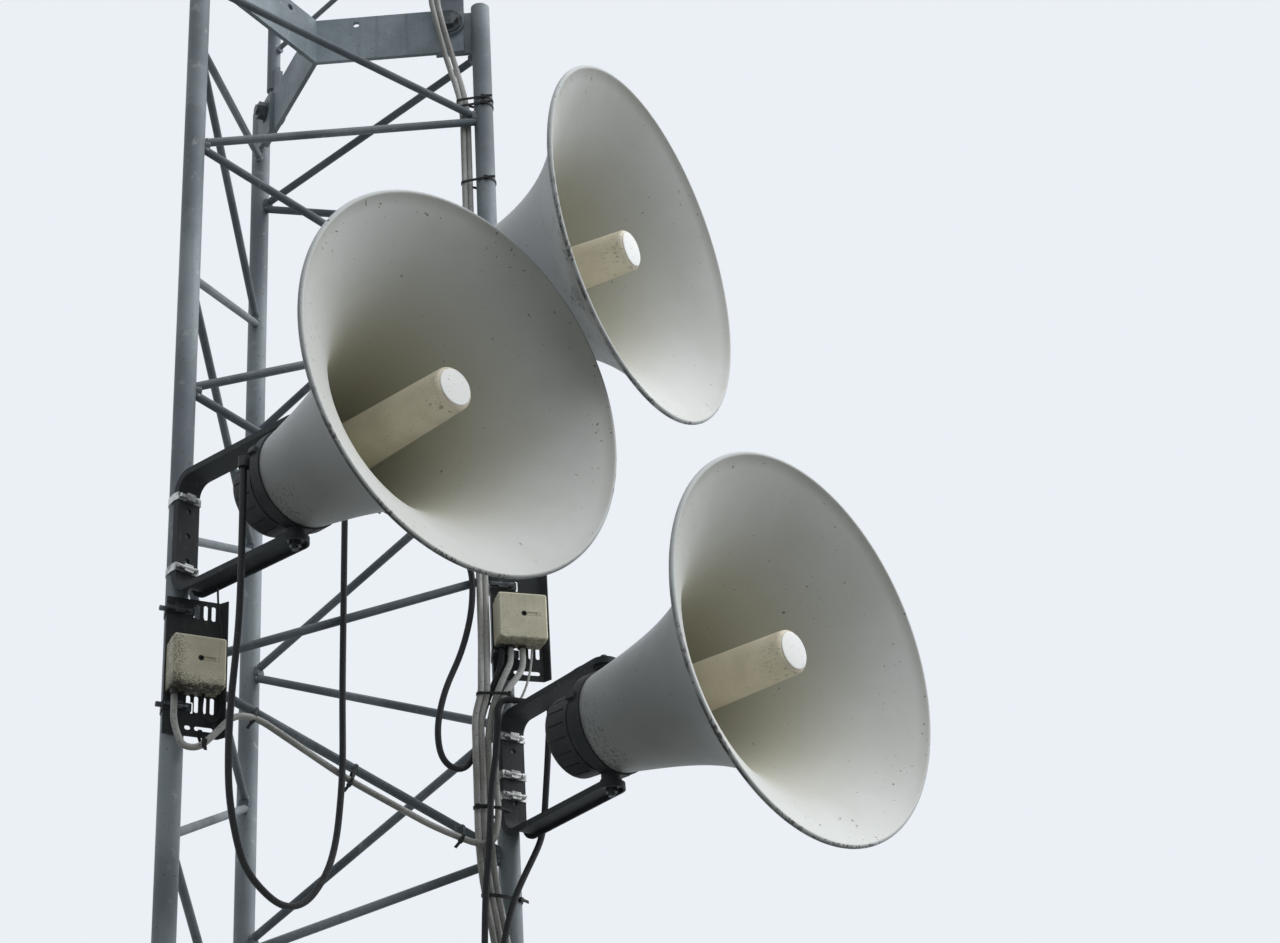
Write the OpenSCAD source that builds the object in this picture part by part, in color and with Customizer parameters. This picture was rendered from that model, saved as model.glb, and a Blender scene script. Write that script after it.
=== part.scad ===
/* [Mast] */
// Outer diameter of each mast leg
leg_d = 34; // [30:1:42]
// Wall of each mast leg
leg_wall = 3.4; // [2:0.2:5]
// Distance between the centres of two mast legs
mast_side = 525; // [480:5:600]
// Height of the main mast above the ground
mast_h = 4400; // [4300:10:5000]
// Height of one bay of the bracing
bay_h = 470; // [430:5:520]
// Diameter of the mast's bracing bars
brace_d = 14; // [10:1:18]
// Height of the first regular brace joint above the ground
first_joint_z = 162; // [130:2:200]
// How much higher the front face's joints sit than the others
front_face_rise = 24; // [0:2:60]
// Height of the joints welded just above the base plate
foot_joint_z = 60; // [45:1:90]
// Distance of the last brace joints below the leg tops
top_joint_drop = 106; // [106:1:140]

/* [Base] */
// Thickness of the base plate
base_t = 12; // [8:1:20]
// Distance from a leg's centre to the cut corner of the plate
base_edge = 100; // [80:5:140]
// Half of the width of a cut corner
base_corner = 45; // [35:1:70]
// Distance from a leg's centre out to its anchor hole
anchor_out = 60; // [50:1:70]
// Diameter of an anchor hole
anchor_d = 18; // [14:1:24]
// Height of the gussets at the legs' feet
gusset_h = 60; // [40:2:90]
// Length of the gussets at the legs' feet
gusset_l = 32; // [20:1:36]
// Thickness of the gussets
gusset_t = 8; // [5:1:10]

/* [Top] */
// Height of the flat bars of the star bracket
star_h = 96; // [80:2:120]
// Thickness of the flat bars
star_t = 8; // [6:0.5:12]
// Distance from the mast's axis to the star's bolts
star_bolt_r = 246; // [236:1:254]
// Distance of the star's bolts below the leg tops
star_bolt_drop = 34; // [28:1:50]
// Diameter of the star's bolts
star_bolt_d = 20; // [16:1:22]
// Diameter of the washers of the star's bolts
washer_d = 50; // [44:1:54]
// Diameter of the spare holes in the star
spare_hole_d = 13; // [9:0.5:18]
// Distance from the mast's axis to the spare holes
spare_hole_r = 75; // [60:1:110]
// Height of the upper section above the leg tops
upper_h = 1000; // [700:10:1300]
// Distance between the centres of two legs of the upper section
upper_side = 452; // [446:1:460]
// Outer diameter of the legs of the upper section
upper_leg_d = 25; // [20:1:30]
// Diameter of the upper section's bracing bars
upper_brace_d = 10; // [8:1:14]
// Height of one bay of the upper section
upper_bay_h = 300; // [240:10:360]

/* [Horns] */
// Outer radius of a horn's mouth
mouth_r = 284; // [260:1:290]
// Distance from the pivot's axis to the mouth
mouth_x = 371; // [350:1:380]
// Radius of a bell at its neck
neck_r = 76; // [70:1:84]
// Wall of a bell
bell_wall = 2.4; // [1.6:0.2:4]
// Radius of the rolled edge round a mouth
bead_r = 4; // [3:0.5:6]
// Radius of the centre tube at its front end
core_front_r = 32; // [26:1:40]
// Radius of the centre tube at the neck
core_back_r = 40; // [34:1:48]
// Distance of the centre tube's end behind the mouth
core_set_back = 26; // [16:1:60]
// Diameter of the disc on the centre tube's end
disc_d = 54; // [40:1:56]
// Radius of a driver's body
driver_r = 64; // [56:1:68]
// Distance from the pivot's axis to the back of a driver
driver_x = 72; // [64:1:80]
// Number of the grooves round a driver
driver_grooves = 18; // [12:1:24]
// Radius of the cast collar between bell and driver
collar_r = 79; // [77:0.5:84]

/* [Horn brackets] */
// Distance from a leg's centre to a horn's pivot
bracket_reach = 256; // [246:1:270]
// Half of the clear height between a bracket's arms
bracket_half = 91; // [88:1:98]
// Width of the bracket's channel
channel_w = 41; // [38:1:46]
// Depth of the channel's flanges
channel_flange = 10; // [6:0.5:12]
// Thickness of the channel's sheet
channel_t = 3; // [2:0.2:4]
// Inner radius of the bracket's bends
channel_bend = 22; // [16:1:30]
// Diameter of the pivot bolts
pivot_d = 10; // [8:0.5:12]
// Height of a band clamp
band_h = 12; // [9:0.5:15]
// Thickness of a band clamp
band_t = 1.2; // [0.8:0.1:2]

/* [Boxes and plates] */
// Width and height of a junction box
box_w = 78; // [60:1:90]
// Depth of a junction box
box_deep = 42; // [30:1:60]
// Width of a slotted plate
plate_w = 82; // [76:1:90]
// Height of a slotted plate
plate_h = 216; // [206:1:217]
// Thickness of a slotted plate
plate_t = 2; // [1.5:0.1:3]
// Diameter of a grey cable
cable_d = 10; // [8:0.5:10]
// Diameter of a black cord
cord_d = 10; // [8:0.5:10]

/* [Hidden] */
$fn = 48;
eps = 0.01;

function polar(r, a) = [r * cos(a), r * sin(a)];
mast_r = mast_side / sqrt(3);
// Directions of the legs from the mast's axis, in the order A, B, C
leg_dir = [210, 90, 330];
leg_at = [for (a = leg_dir) polar(mast_r, a)];
leg_r = leg_d / 2;
half_bay = bay_h / 2;

star_z = mast_h - star_h;
// The brace joints of a face, from its foot up: the regular ones, the last of them shifted, and the
// one at the top
function joints(z0, top, shift) = let (n = floor((top - z0) / half_bay - 0.3))
    [foot_joint_z, each [for (k = [0 : n]) z0 + k * half_bay + (k == n ? shift : 0)], top];
face_top = min(mast_h - top_joint_drop, star_z - 10);
ab_joints = joints(first_joint_z, face_top, 0);
bc_joints = joints(first_joint_z, face_top, 24);
ca_joints = joints(first_joint_z + front_face_rise, face_top - 6, -37);

bolt_z = mast_h - star_bolt_drop;
lug_t = 8;
upper_r = upper_side / sqrt(3);
upper_leg_r = upper_leg_d / 2;
foot_w = 56;
foot_gap = 0.2;
foot_side = star_t / 2 + foot_gap + lug_t / 2;
upper_turn = asin(foot_side / upper_r);
upper_foot_z = mast_h + 30;
upper_top = mast_h + upper_h;
// The legs of the upper section stand beside the star's arms, so the section is turned a little
upper_at = [for (a = leg_dir) polar(upper_r, a - upper_turn)];
upper_first_z = mast_h + 104;

// Each horn: its leg, the bracket's direction, the pivot's height and the direction of its mouth
HORNS = [[0, -67, 3212, -71.5], [2, -133, 3578, -55.5], [2, -79, 2892, -68.5]];
function horn_pivot(h) = [each leg_at[h[0]] + polar(bracket_reach, h[1]), h[2]];
// Heights of the band clamps from the pivot's height, for each horn
BANDS = [[62, -56], [60, -60], [64, 2, -32]];

bell_x0 = 14;
collar_x0 = -5;
pivot_clear = 0.5;
bolt_play = 0.3;
lug_r = 14;
lug_top = bracket_half - pivot_clear;
lug_bore_z = 64;

// Slotted plates: the leg, the direction that the plate faces, and the height of its lower edge
PLATES = [[0, -90, 2893], [2, -100, 3053]];
plate_left = -20;
box_rise = [62, 53];
box_corner = 4;
box_edge = 2;

/* Helpers for places */
module at_leg(i, turn) {
    translate(leg_at[i]) rotate(turn) children();
}
module at_horn(h) {
    translate(horn_pivot(h)) rotate(h[3]) children();
}
module at_bracket(h) {
    translate([each leg_at[h[0]], h[2]]) rotate(h[1]) children();
}
module at_plate(i) {
    p = PLATES[i];
    translate([each leg_at[p[0]], p[2]]) rotate(p[1] + 90) children();
}
// A straight bar of few sides from one point to another
module bar(p, q, d, sides = 12) {
    v = q - p;
    run = norm([v.x, v.y]);
    translate(p) rotate([0, atan2(run, v.z), atan2(v.y, v.x)]) cylinder(h = norm(v), d = d, $fn = sides);
}

/* Base */
module base_plate() {
    out = mast_r + base_edge;
    color("dimgray") difference() {
        union() {
            linear_extrude(base_t) polygon([for (a = leg_dir, s = [1, -1])
                polar(out, a) + s * polar(base_corner, a + 90)]);
            for (i = [0 : 2]) at_leg(i, leg_dir[i]) gusset();
        }
        for (i = [0 : 2]) at_leg(i, leg_dir[i])
            translate([anchor_out, 0, -1]) cylinder(h = base_t + 2, d = anchor_d);
    }
}
// A triangular web on the plate, against the outer side of a leg
module gusset() {
    for (s = [-1, 1]) rotate(s * 50) translate([leg_r, gusset_t / 2, base_t - eps]) rotate([90, 0, 0])
        linear_extrude(gusset_t) polygon([[0, 0], [gusset_l, 0], [gusset_l, 8], [8, gusset_h],
            [0, gusset_h]]);
}

/* Mast */
module leg(i) {
    color("slategray") translate([each leg_at[i], base_t]) difference() {
        cylinder(h = mast_h - base_t, d = leg_d);
        translate([0, 0, -1]) cylinder(h = mast_h - base_t - leg_wall + 1, d = leg_d - 2 * leg_wall);
    }
}
// One flat side of a mast: a zigzag of bars between two legs, with a weld bead at each joint
module lacing(p, q, levels, d, post_d, bead) {
    ends = [p, q];
    difference() {
        union() {
            for (k = [0 : len(levels) - 2])
                bar([each ends[k % 2], levels[k]], [each ends[(k + 1) % 2], levels[k + 1]], d);
            for (k = [0 : len(levels) - 1]) {
                a = ends[k % 2];
                u = (ends[(k + 1) % 2] - a) / norm(q - p);
                bar([each a, levels[k]], [each (a + u * (post_d / 2 + bead)), levels[k]], d + 3);
            }
        }
        for (e = ends) translate([each e, levels[0] - 100])
            cylinder(h = levels[len(levels) - 1] - levels[0] + 200, d = post_d);
    }
}
module mast_lacing(i, j, levels) {
    color("slategray") lacing(leg_at[i], leg_at[j], levels, brace_d, leg_d, 8);
}

/* Star bracket between the leg tops */
module star_bracket() {
    color("dimgray") difference() {
        for (a = leg_dir) rotate(a) translate([0, -star_t / 2, star_z])
            cube([star_bolt_r + 26, star_t, star_h]);
        for (a = leg_dir) rotate(a) {
            translate([star_bolt_r, 0, bolt_z]) rotate([90, 0, 0])
                cylinder(h = 3 * star_t, d = star_bolt_d + 1, center = true);
            translate([spare_hole_r, 0, mast_h - 16]) rotate([90, 0, 0])
                cylinder(h = 3 * star_t, d = spare_hole_d, center = true);
        }
    }
}
// The ears welded to the legs, which the star's arms are bolted to
module star_lugs() {
    ear_in = star_bolt_r - 26;
    color("slategray") for (a = leg_dir) rotate(a) difference() {
        translate([ear_in, star_t / 2, star_z]) cube([mast_r - ear_in, lug_t, star_h - 4]);
        translate([mast_r, 0, star_z - 1]) cylinder(h = star_h + 2, d = leg_d);
        translate([star_bolt_r, 0, bolt_z]) rotate([90, 0, 0])
            cylinder(h = 6 * star_t, d = star_bolt_d + 1, center = true);
    }
}
module star_bolts() {
    front = star_t / 2 + foot_gap + lug_t;
    back = star_t / 2 + lug_t;
    color("gray") for (a = leg_dir) rotate(a) translate([star_bolt_r, 0, bolt_z]) rotate([90, 0, 0]) {
        translate([0, 0, front]) cylinder(h = 3, d = washer_d);
        translate([0, 0, front + 3]) cylinder(h = 10, d = star_bolt_d * 1.73, $fn = 6);
        translate([0, 0, -back - 3]) cylinder(h = 3, d = washer_d - 8);
        translate([0, 0, -back - 15]) cylinder(h = 12.2, d = star_bolt_d * 1.73, $fn = 6);
        translate([0, 0, -back - 20]) cylinder(h = back + front + 22, d = star_bolt_d);
    }
}

/* Upper section, carried on the star's bolts */
module upper_legs() {
    color("dimgray") for (i = [0 : 2]) translate(upper_at[i]) rotate(leg_dir[i]) {
        difference() {
            union() {
                translate([0, 0, upper_foot_z]) cylinder(h = upper_top - upper_foot_z, d = upper_leg_d);
                foot_bar(upper_foot_z + 40);
            }
            translate([0, 0, upper_foot_z + 50]) cylinder(h = upper_top - upper_foot_z - 53,
                d = upper_leg_d - 5);
            translate([star_bolt_r - upper_r * cos(upper_turn), 0, bolt_z]) rotate([90, 0, 0])
                cylinder(h = 40, d = star_bolt_d + 1, center = true);
        }
    }
}
// The flat foot that a leg of the upper section is welded to
module foot_bar(top) {
    bolt_x = star_bolt_r - upper_r * cos(upper_turn);
    translate([bolt_x, 0, bolt_z]) rotate([90, 0, 0]) cylinder(h = lug_t, d = foot_w, center = true);
    translate([bolt_x - foot_w / 2, -lug_t / 2, bolt_z]) cube([foot_w, lug_t, top - bolt_z - 20]);
    translate([bolt_x - foot_w / 4, -lug_t / 2, top - 21]) cube([foot_w / 2 + 8, lug_t, 21]);
}
module upper_lacing(i, j, shift) {
    last = upper_top - 40;
    n = floor((last - upper_first_z - shift) / (upper_bay_h / 2));
    levels = [for (k = [0 : n]) upper_first_z + shift + k * upper_bay_h / 2];
    color("dimgray") lacing(upper_at[i], upper_at[j], levels, upper_brace_d, upper_leg_d, 6);
}
// Three flat bars that close the upper section at its top
module upper_frame() {
    frame_h = 30;
    color("dimgray") difference() {
        for (i = [0 : 2]) {
            p = upper_at[i];
            q = upper_at[(i + 1) % 3];
            v = q - p;
            translate([each p, upper_top - frame_h - 2]) rotate(atan2(v.y, v.x))
                translate([0, -2.5, 0]) cube([norm(v), 5, frame_h]);
        }
        for (i = [0 : 2]) translate([each upper_at[i], upper_top - 60]) cylinder(h = 100, d = upper_leg_d);
    }
}

/* Horn brackets: a pressed channel bent to a U, its flanges turned away from the horn */
function channel(w, f, t) = [[0, -w / 2], [f, -w / 2], [f, t - w / 2], [t, t - w / 2],
    [t, w / 2 - t], [f, w / 2 - t], [f, w / 2], [0, w / 2]];
module bracket(h) {
    web = leg_r + channel_t;
    bend_u = web + channel_bend;
    bend_z = bracket_half - channel_bend;
    shape = channel(channel_w, channel_flange, channel_t);
    color("darkslategray") at_bracket(h) difference() {
        union() {
            translate([web, 0, -bend_z]) rotate(180) linear_extrude(2 * bend_z) polygon(shape);
            for (s = [0, 1]) mirror([0, 0, s]) {
                translate([bend_u, 0, bend_z]) rotate([90, 0, 0]) rotate([0, 0, 90])
                    rotate_extrude(angle = 90) translate([channel_bend, 0]) polygon(shape);
                arm(bend_u);
            }
        }
        for (z = [-42, 0, 42]) translate([0, 0, z]) rotate([0, 90, 0]) cylinder(h = 60, d = 9);
        for (s = [0, 1]) mirror([0, 0, s])
            translate([bracket_reach, 0, bracket_half - 5]) cylinder(h = 20, d = pivot_d + 0.4);
    }
}
// One arm of the U, rounded at its end round the pivot
module arm(from) {
    r = channel_w / 2;
    translate([0, 0, bracket_half]) difference() {
        union() {
            translate([from, -r, 0]) cube([bracket_reach - from, 2 * r, channel_flange]);
            translate([bracket_reach, 0, 0]) cylinder(h = channel_flange, r = r);
        }
        translate([from - 1, channel_t - r, channel_t])
            cube([bracket_reach - from + 1, 2 * (r - channel_t), channel_flange]);
        translate([bracket_reach, 0, channel_t]) cylinder(h = channel_flange, r = r - channel_t);
    }
}
// The line of a band drawn round a leg and over a flat front, w to each side of the leg
function band_line(r, back, front, w) = let (a = atan2(w, back) + acos(r / norm([back, w])))
    concat([for (k = [0 : 16]) polar(r, a + (360 - 2 * a) * k / 16)],
        [[back, -w], [front, -w], [front, w], [back, w]]);
module band(back, front, w) {
    gap = 0.15;
    translate([0, 0, -band_h / 2]) linear_extrude(band_h) difference() {
        polygon(band_line(leg_r + gap + band_t, back, front + gap + band_t, w + gap + band_t));
        polygon(band_line(leg_r + gap, back, front + gap, w + gap));
    }
    // screw housing with its worm screw
    translate([front + gap + band_t - eps, -9, -band_h / 2]) cube([6, 16, band_h]);
    translate([front + gap + band_t + 4, -20, 0]) rotate([-90, 0, 0]) cylinder(h = 30, d = 6);
    translate([front + gap + band_t + 4, 10, 0]) rotate([-90, 0, 0]) cylinder(h = 5, d = 8, $fn = 6);
}
module band_clamps() {
    web = leg_r + channel_t;
    color("silver") for (k = [0 : 2], z = BANDS[k]) at_bracket(HORNS[k])
        translate([0, 0, z]) band(web - channel_flange, web, channel_w / 2);
}
module pivot_bolts() {
    color("silver") for (h = HORNS) translate(horn_pivot(h)) for (s = [0, 1]) mirror([0, 0, s]) {
        translate([0, 0, lug_bore_z + 3]) cylinder(h = bracket_half + channel_t - lug_bore_z, d = pivot_d);
        translate([0, 0, bracket_half + channel_t]) cylinder(h = 2, d = 24);
        translate([0, 0, bracket_half + channel_t + 2]) cylinder(h = 8, d = pivot_d * 1.9, $fn = 6);
        translate([0, 0, bracket_half + channel_t + 9]) cylinder(h = 7, d = pivot_d);
    }
}

/* Horns, each along +X from its pivot */
// The bell's flare: slow from the neck, then fast towards the mouth
function flare(t) = 0.30 * t + 0.10 * pow(t, 2) + 0.60 * pow(t, 4.2);
lip_r = mouth_r - bead_r;
lip_x = mouth_x - bead_r;
function bell_r(t) = neck_r + (lip_r - neck_r) * flare(t);
function bell_x(t) = bell_x0 + (lip_x - bell_x0) * t;
bell_steps = 18;
module bell(h) {
    outer = [for (k = [0 : bell_steps - 1]) let (t = k / bell_steps) [bell_r(t), bell_x(t)]];
    inner = [for (k = [bell_steps : -1 : 0]) let (t = k / bell_steps)
        [bell_r(t) - bell_wall * (1 + 0.4 * t), bell_x(t) + bell_wall * 0.5 * t]];
    color("lightgray") at_horn(h) rotate([0, 90, 0]) {
        rotate_extrude($fn = 96) polygon(concat(outer,
            [for (a = [-60 : 30 : 120]) [lip_r, lip_x] + polar(bead_r, a)], inner));
    }
}
module core(h) {
    front = mouth_x - core_set_back;
    round_r = 7;
    color("beige") at_horn(h) rotate([0, 90, 0]) {
        rotate_extrude($fn = 64) polygon(concat([[0, bell_x0], [core_back_r, bell_x0]],
            [for (a = [0 : 22.5 : 90]) [core_front_r - round_r, front - round_r] + polar(round_r, a)],
                [[0, front]]));
        translate([0, 0, front - eps]) cylinder(h = 1.5, d = disc_d);
    }
}
module driver(h, exits) {
    edge = 9;
    flange_r = driver_r + 6;
    color("black") at_horn(h) rotate([0, -90, 0]) difference() {
        rotate_extrude($fn = 72) polygon(concat([[0, -collar_x0], [flange_r + 2, -collar_x0],
            [flange_r + 2, 7], [flange_r, 7], [flange_r, 13], [driver_r, 14]],
            [for (a = [0 : 18 : 90]) [driver_r - edge - 2, driver_x - edge] + polar(edge, a)],
            [[20, driver_x], [18, driver_x - 3], [0, driver_x - 3]]));
        for (k = [0 : driver_grooves - 1]) rotate(k * 360 / driver_grooves + 8)
            translate([driver_r - 3, -1.2, 32]) cube([6, 2.4, driver_x]);
        translate([0, 0, 22]) ring_cut(driver_r - 1.5, driver_r + 3, 2.5);
    }
    color("black") for (e = exits) at_horn(h) translate([e.x, 0, 0]) mirror([0, e.y > 0 ? 1 : 0, 0])
        mirror([0, 0, e.z > 0 ? 1 : 0]) driver_gland();
}
// The gland on a driver's side, its cord leaving downwards
module driver_gland() {
    translate([0, -gland_s, gland_z]) cylinder(h = 16, d = cord_d + 6);
    translate([-6, -gland_s, gland_z + 2]) cube([12, gland_s - driver_r + 6, 12]);
}
module ring_cut(r0, r1, w) {
    difference() {
        cylinder(h = w, r = r1, $fn = 72);
        translate([0, 0, -1]) cylinder(h = w + 2, r = r0, $fn = 72);
    }
}
module collar(h) {
    depth = bell_x0 - collar_x0;
    color("dimgray") at_horn(h) difference() {
        union() {
            translate([collar_x0, 0, 0]) rotate([0, 90, 0]) cylinder(h = depth, r = collar_r, $fn = 96);
            for (s = [0, 1]) mirror([0, 0, s]) pivot_lug();
            rotate([72, 0, 0]) translate([collar_x0 - 3, -5, collar_r - 3]) cube([14, 10, 8]);
        }
        for (s = [0, 1]) mirror([0, 0, s])
            translate([0, 0, lug_bore_z]) cylinder(h = 60, d = pivot_d + 2 * bolt_play);
    }
}
// The cast lug that a pivot bolt runs in
module pivot_lug() {
    z0 = collar_r - 5;
    translate([0, 0, z0]) cylinder(h = lug_top - z0, r = lug_r);
    translate([0, 0, lug_top - 5]) cylinder(h = 5, r = lug_r + 2);
    translate([collar_x0, -26, z0 - 8]) cube([bell_x0 - collar_x0, 52, 10]);
}

/* Slotted plates, with the leg behind them */
module slot(x, z, w, h) {
    r = min(w, h) / 2;
    translate([x, 0, z]) rotate([90, 0, 0]) {
        translate([-w / 2 + (w > h ? r : 0), -h / 2 + (w > h ? 0 : r), -10])
            cube([w > h ? w - h : w, w > h ? h : h - w, 20]);
        for (s = [-1, 1]) translate([w > h ? s * (w - h) / 2 : 0, w > h ? 0 : s * (h - w) / 2, -10])
            cylinder(h = 20, r = r);
    }
}
// Heights of the bands that hold each plate
plate_clamp_z = [[44, 196], [44, 162]];
module slotted_plate(i) {
    right = plate_left + plate_w;
    color("darkslategray") at_plate(i) difference() {
        union() {
            translate([plate_left, -leg_r - plate_t, 0]) cube([plate_w, plate_t, plate_h]);
            // the bent edge
            translate([right, -leg_r, 0]) rotate(-55) translate([0, -plate_t, 0])
                cube([15, plate_t, plate_h]);
        }
        translate([0, -leg_r, 0]) {
            for (k = [0 : 2]) slot(27 + 12 * k, plate_h - 19, 6.5, 24);
            for (k = [0 : 3]) slot(17 + 11.8 * k, 50, 6.5, 26);
            for (z = [13, 146]) {
                slot(17, z, 9, 7);
                slot(41, z, 28, 7);
            }
            for (z = plate_clamp_z[i]) slot(leg_r + 5, z, 4.5, band_h + 6);
        }
    }
}
module plate_clamps() {
    color("dimgray") for (i = [0, 1], z = plate_clamp_z[i]) at_plate(i) translate([0, 0, z]) rotate(-90) {
        band(leg_r - 2, leg_r + plate_t, leg_r + 3.4);
        if (i == 0) translate([leg_r, -leg_r - 4.4, 0]) rotate([90, 0, 0]) cylinder(h = 9, d = 8, $fn = 6);
    }
}

/* Junction boxes */
module rounded(w, h, r) {
    for (x = [r, w - r], y = [r, h - r]) translate([x, y]) circle(r);
    translate([r, 0]) square([w - 2 * r, h]);
    translate([0, r]) square([w, h - 2 * r]);
}
module junction_box(i) {
    base_deep = 18;
    lid = 1.2;
    base_w = box_w - 2 * lid;
    corner = [plate_left + 1, -leg_r - plate_t, box_rise[i]];
    color("tan") at_plate(i) translate(corner) rotate([90, 0, 0]) difference() {
        union() {
            translate([lid, lid, 0]) linear_extrude(base_deep) rounded(base_w, base_w, box_corner - lid);
            translate([0, 0, base_deep]) linear_extrude(box_deep - base_deep - box_edge)
                rounded(box_w, box_w, box_corner);
            hull() for (k = [0, box_edge]) translate([k, k, box_deep - box_edge - eps + k])
                linear_extrude(0.02) rounded(box_w - 2 * k, box_w - 2 * k, box_corner - k);
        }
        translate([box_w * 0.52, box_w * 0.55, box_deep - 4]) cylinder(h = 10, d = 5);
        translate([box_w * 0.52, box_w * 0.55 - 2, box_deep - 1]) cube([22, 4, 5]);
    }
    color("dimgray") at_plate(i) for (x = box_glands[i])
        translate([x, -leg_r - plate_t - gland_back, box_rise[i] - gland_h])
            cylinder(h = gland_h + 1.3, d = gland_d);
}
box_glands = [[-8], [5, 24, -9]];
gland_back = 14;
// The middle of a gland's lower face
function box_gland(i, k) = let (p = PLATES[i], a = p[1] + 90)
    [each leg_at[p[0]] + rot([box_glands[i][k], -leg_r - plate_t - gland_back], a),
        p[2] + box_rise[i] - gland_h];
gland_h = 6;
gland_d = 13;

/* Cables */
// A corner of a route, rounded with a curve that starts and ends a set distance from it
function corner(a, p, b, cut, n) = let (la = norm(a - p), lb = norm(b - p),
    c = min(cut, la * 0.48, lb * 0.48),
    s = p + (a - p) / la * c, e = p + (b - p) / lb * c)
    [for (k = [0 : n]) let (t = k / n) (1 - t) * (1 - t) * s + 2 * t * (1 - t) * p + t * t * e];
function smooth(route, cut, n) = let (m = len(route) - 1)
    [route[0], each [for (k = [1 : m - 1]) each corner(route[k - 1], route[k], route[k + 1], cut, n)],
        route[m]];
function unit(v) = v / norm(v);
function heading(p, k) = let (m = len(p) - 1) unit(p[min(k + 1, m)] - p[max(k - 1, 0)]);
function across(t) = abs(t.z) > 0.9 ? unit(cross(t, [0, 1, 0])) : unit(cross(t, [0, 0, 1]));
// Frames along the route: each side direction is the last one, turned as little as can be
function sides(p, k, prev) = k == len(p) ? [] : let (t = heading(p, k), s = unit(prev - (prev * t) * t))
    concat([s], sides(p, k + 1, s));
module tube(p, d, n = 8) {
    side = sides(p, 0, across(heading(p, 0)));
    rings = [for (k = [0 : len(p) - 1]) let (t = heading(p, k), s = side[k], u = cross(t, s))
        each [for (j = [0 : n - 1]) p[k] + d / 2 * (cos(j * 360 / n) * s + sin(j * 360 / n) * u)]];
    m = len(p) - 1;
    walls = [for (k = [0 : m - 1], j = [0 : n - 1]) let (a = k * n + j, b = k * n + (j + 1) % n)
        each [[a, b, b + n], [a, b + n, a + n]]];
    ends = [[for (j = [0 : n - 1]) j], [for (j = [n - 1 : -1 : 0]) m * n + j]];
    polyhedron(points = rings, faces = [each ends, each [for (f = walls) [f[2], f[1], f[0]]]], convexity = 6);
}
// Places for the routes: beside leg C, on horn 3's bracket, off horn 1's pivot and before the front face
function beside_c(x, y, z) = [leg_at[2].x + x, leg_at[2].y + y, z];
function on_bracket(u, v, z) = [each leg_at[2] + rot([u, v], HORNS[2][1]), HORNS[2][2] + z];
function off_horn(p) = horn_pivot(HORNS[0]) + p;
function before_face(t, out, z) = [leg_at[0].x + t * mast_side, leg_at[0].y - out, z];
bar_out = 13.5;
// A point beside a front bar, which runs from joint i on leg A to joint j on leg C
function on_bar(i, j, t, drop) = before_face(t, bar_out, (1 - t) * ca_joints[i] + t * ca_joints[j] - drop);

stub_at = leg_at[2] + [-72, -46];
stub_h = 130;
stub_d = 56;
stub_pitch = 12;
// The top of the stub takes the cables in two rows of three
function stub_entry(k) = [each stub_at + stub_pitch * [k % 3 - 1, floor(k / 3) - 0.5], stub_h];
// The last stretch of a run: down beside leg C, then over to its place in the stub
function into_stub(x, y, k) = [beside_c(x, y, 2600), beside_c(x, y, 560),
    stub_entry(k) + [0, 0, 140], stub_entry(k)];

module conduit_stub() {
    thread_h = 30;
    color("gray") translate([each stub_at, base_t]) {
        cylinder(h = stub_h - base_t - 20, d = stub_d - 8);
        translate([0, 0, stub_h - base_t - thread_h]) cylinder(h = thread_h, d = stub_d);
        cylinder(h = 12, d = stub_d + 8);
    }
}

// Two grey cables from the upper section, past the star and down behind, then in front of the front face
upper_exit_z = [mast_h + 660, mast_h + 730];
module upper_cables() {
    color("gainsboro") for (k = [0, 1]) {
        out = [upper_at[2].x, upper_at[2].y - upper_leg_r - 0.2, upper_exit_z[k]];
        side = 10.5 * k;
        tube(smooth([out, out + [0, -46, 0], beside_c(-60 - side, 2, upper_exit_z[k] - 110),
            beside_c(-60 - side, 2, mast_h + 120), beside_c(-82 - 1.2 * side, 2, mast_h + 20),
            beside_c(-84 - 1.2 * side, 2, mast_h - 10), beside_c(-74 - 1.2 * side, 2, mast_h - 60),
            beside_c(-50 - 1.4 * side, 11, mast_h - 130), beside_c(-24 - side, 14, mast_h - 220),
            beside_c(-24 - side, 14, 3450), beside_c(-31.5 - side, -14, 3340),
            beside_c(-31.5 - side, -14, 3110), beside_c(-37.5 - side, -23, 3055),
            beside_c(-38 - side, -23, 3022), beside_c(-47.5 - side, -18, 2985),
            beside_c(-47.5 - side, -18, 2750), each into_stub(-22.8 - side, -23, 4 - k)], 60, 3), cable_d);
    }
}
// The grey cable from the second box to the ground
module feed_cable() {
    g = box_gland(1, 0);
    color("gainsboro") tube(smooth([g, g - [0, 0, 24], beside_c(-14, -34, 3050), beside_c(-26, -24, 3015),
        beside_c(-36.7, -18, 2965), beside_c(-36.7, -18, 2750), each into_stub(-12, -23, 5)], 60, 3),
        cable_d);
}
// The grey cable that joins the boxes, along a bracing bar, with a dip under the first box
module link_cable() {
    g = box_gland(0, 0);
    k = box_gland(1, 1);
    color("gainsboro") tube(smooth([g, g - [0, 0, 45], [g.x + 13, g.y - 4, g.z - 80],
        [g.x + 37, g.y - 4, g.z - 80],
        [g.x + 60, g.y - 6, g.z - 56], [g.x + 86, g.y - 5, g.z - 24], on_bar(13, 12, 0.23, 14),
        on_bar(13, 12, 0.5, 30), on_bar(13, 12, 0.76, 28), beside_c(-70, -27, 2777), beside_c(-50, -30, 2775),
        beside_c(-36, -31, 2786), beside_c(-25.7, -25, 2830), beside_c(-25.7, -18, 2875),
        beside_c(-25.7, -18, 2940), beside_c(-22, -34, 3010), k - [0, 0, 34], k], 34, 4), cable_d);
}

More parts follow.
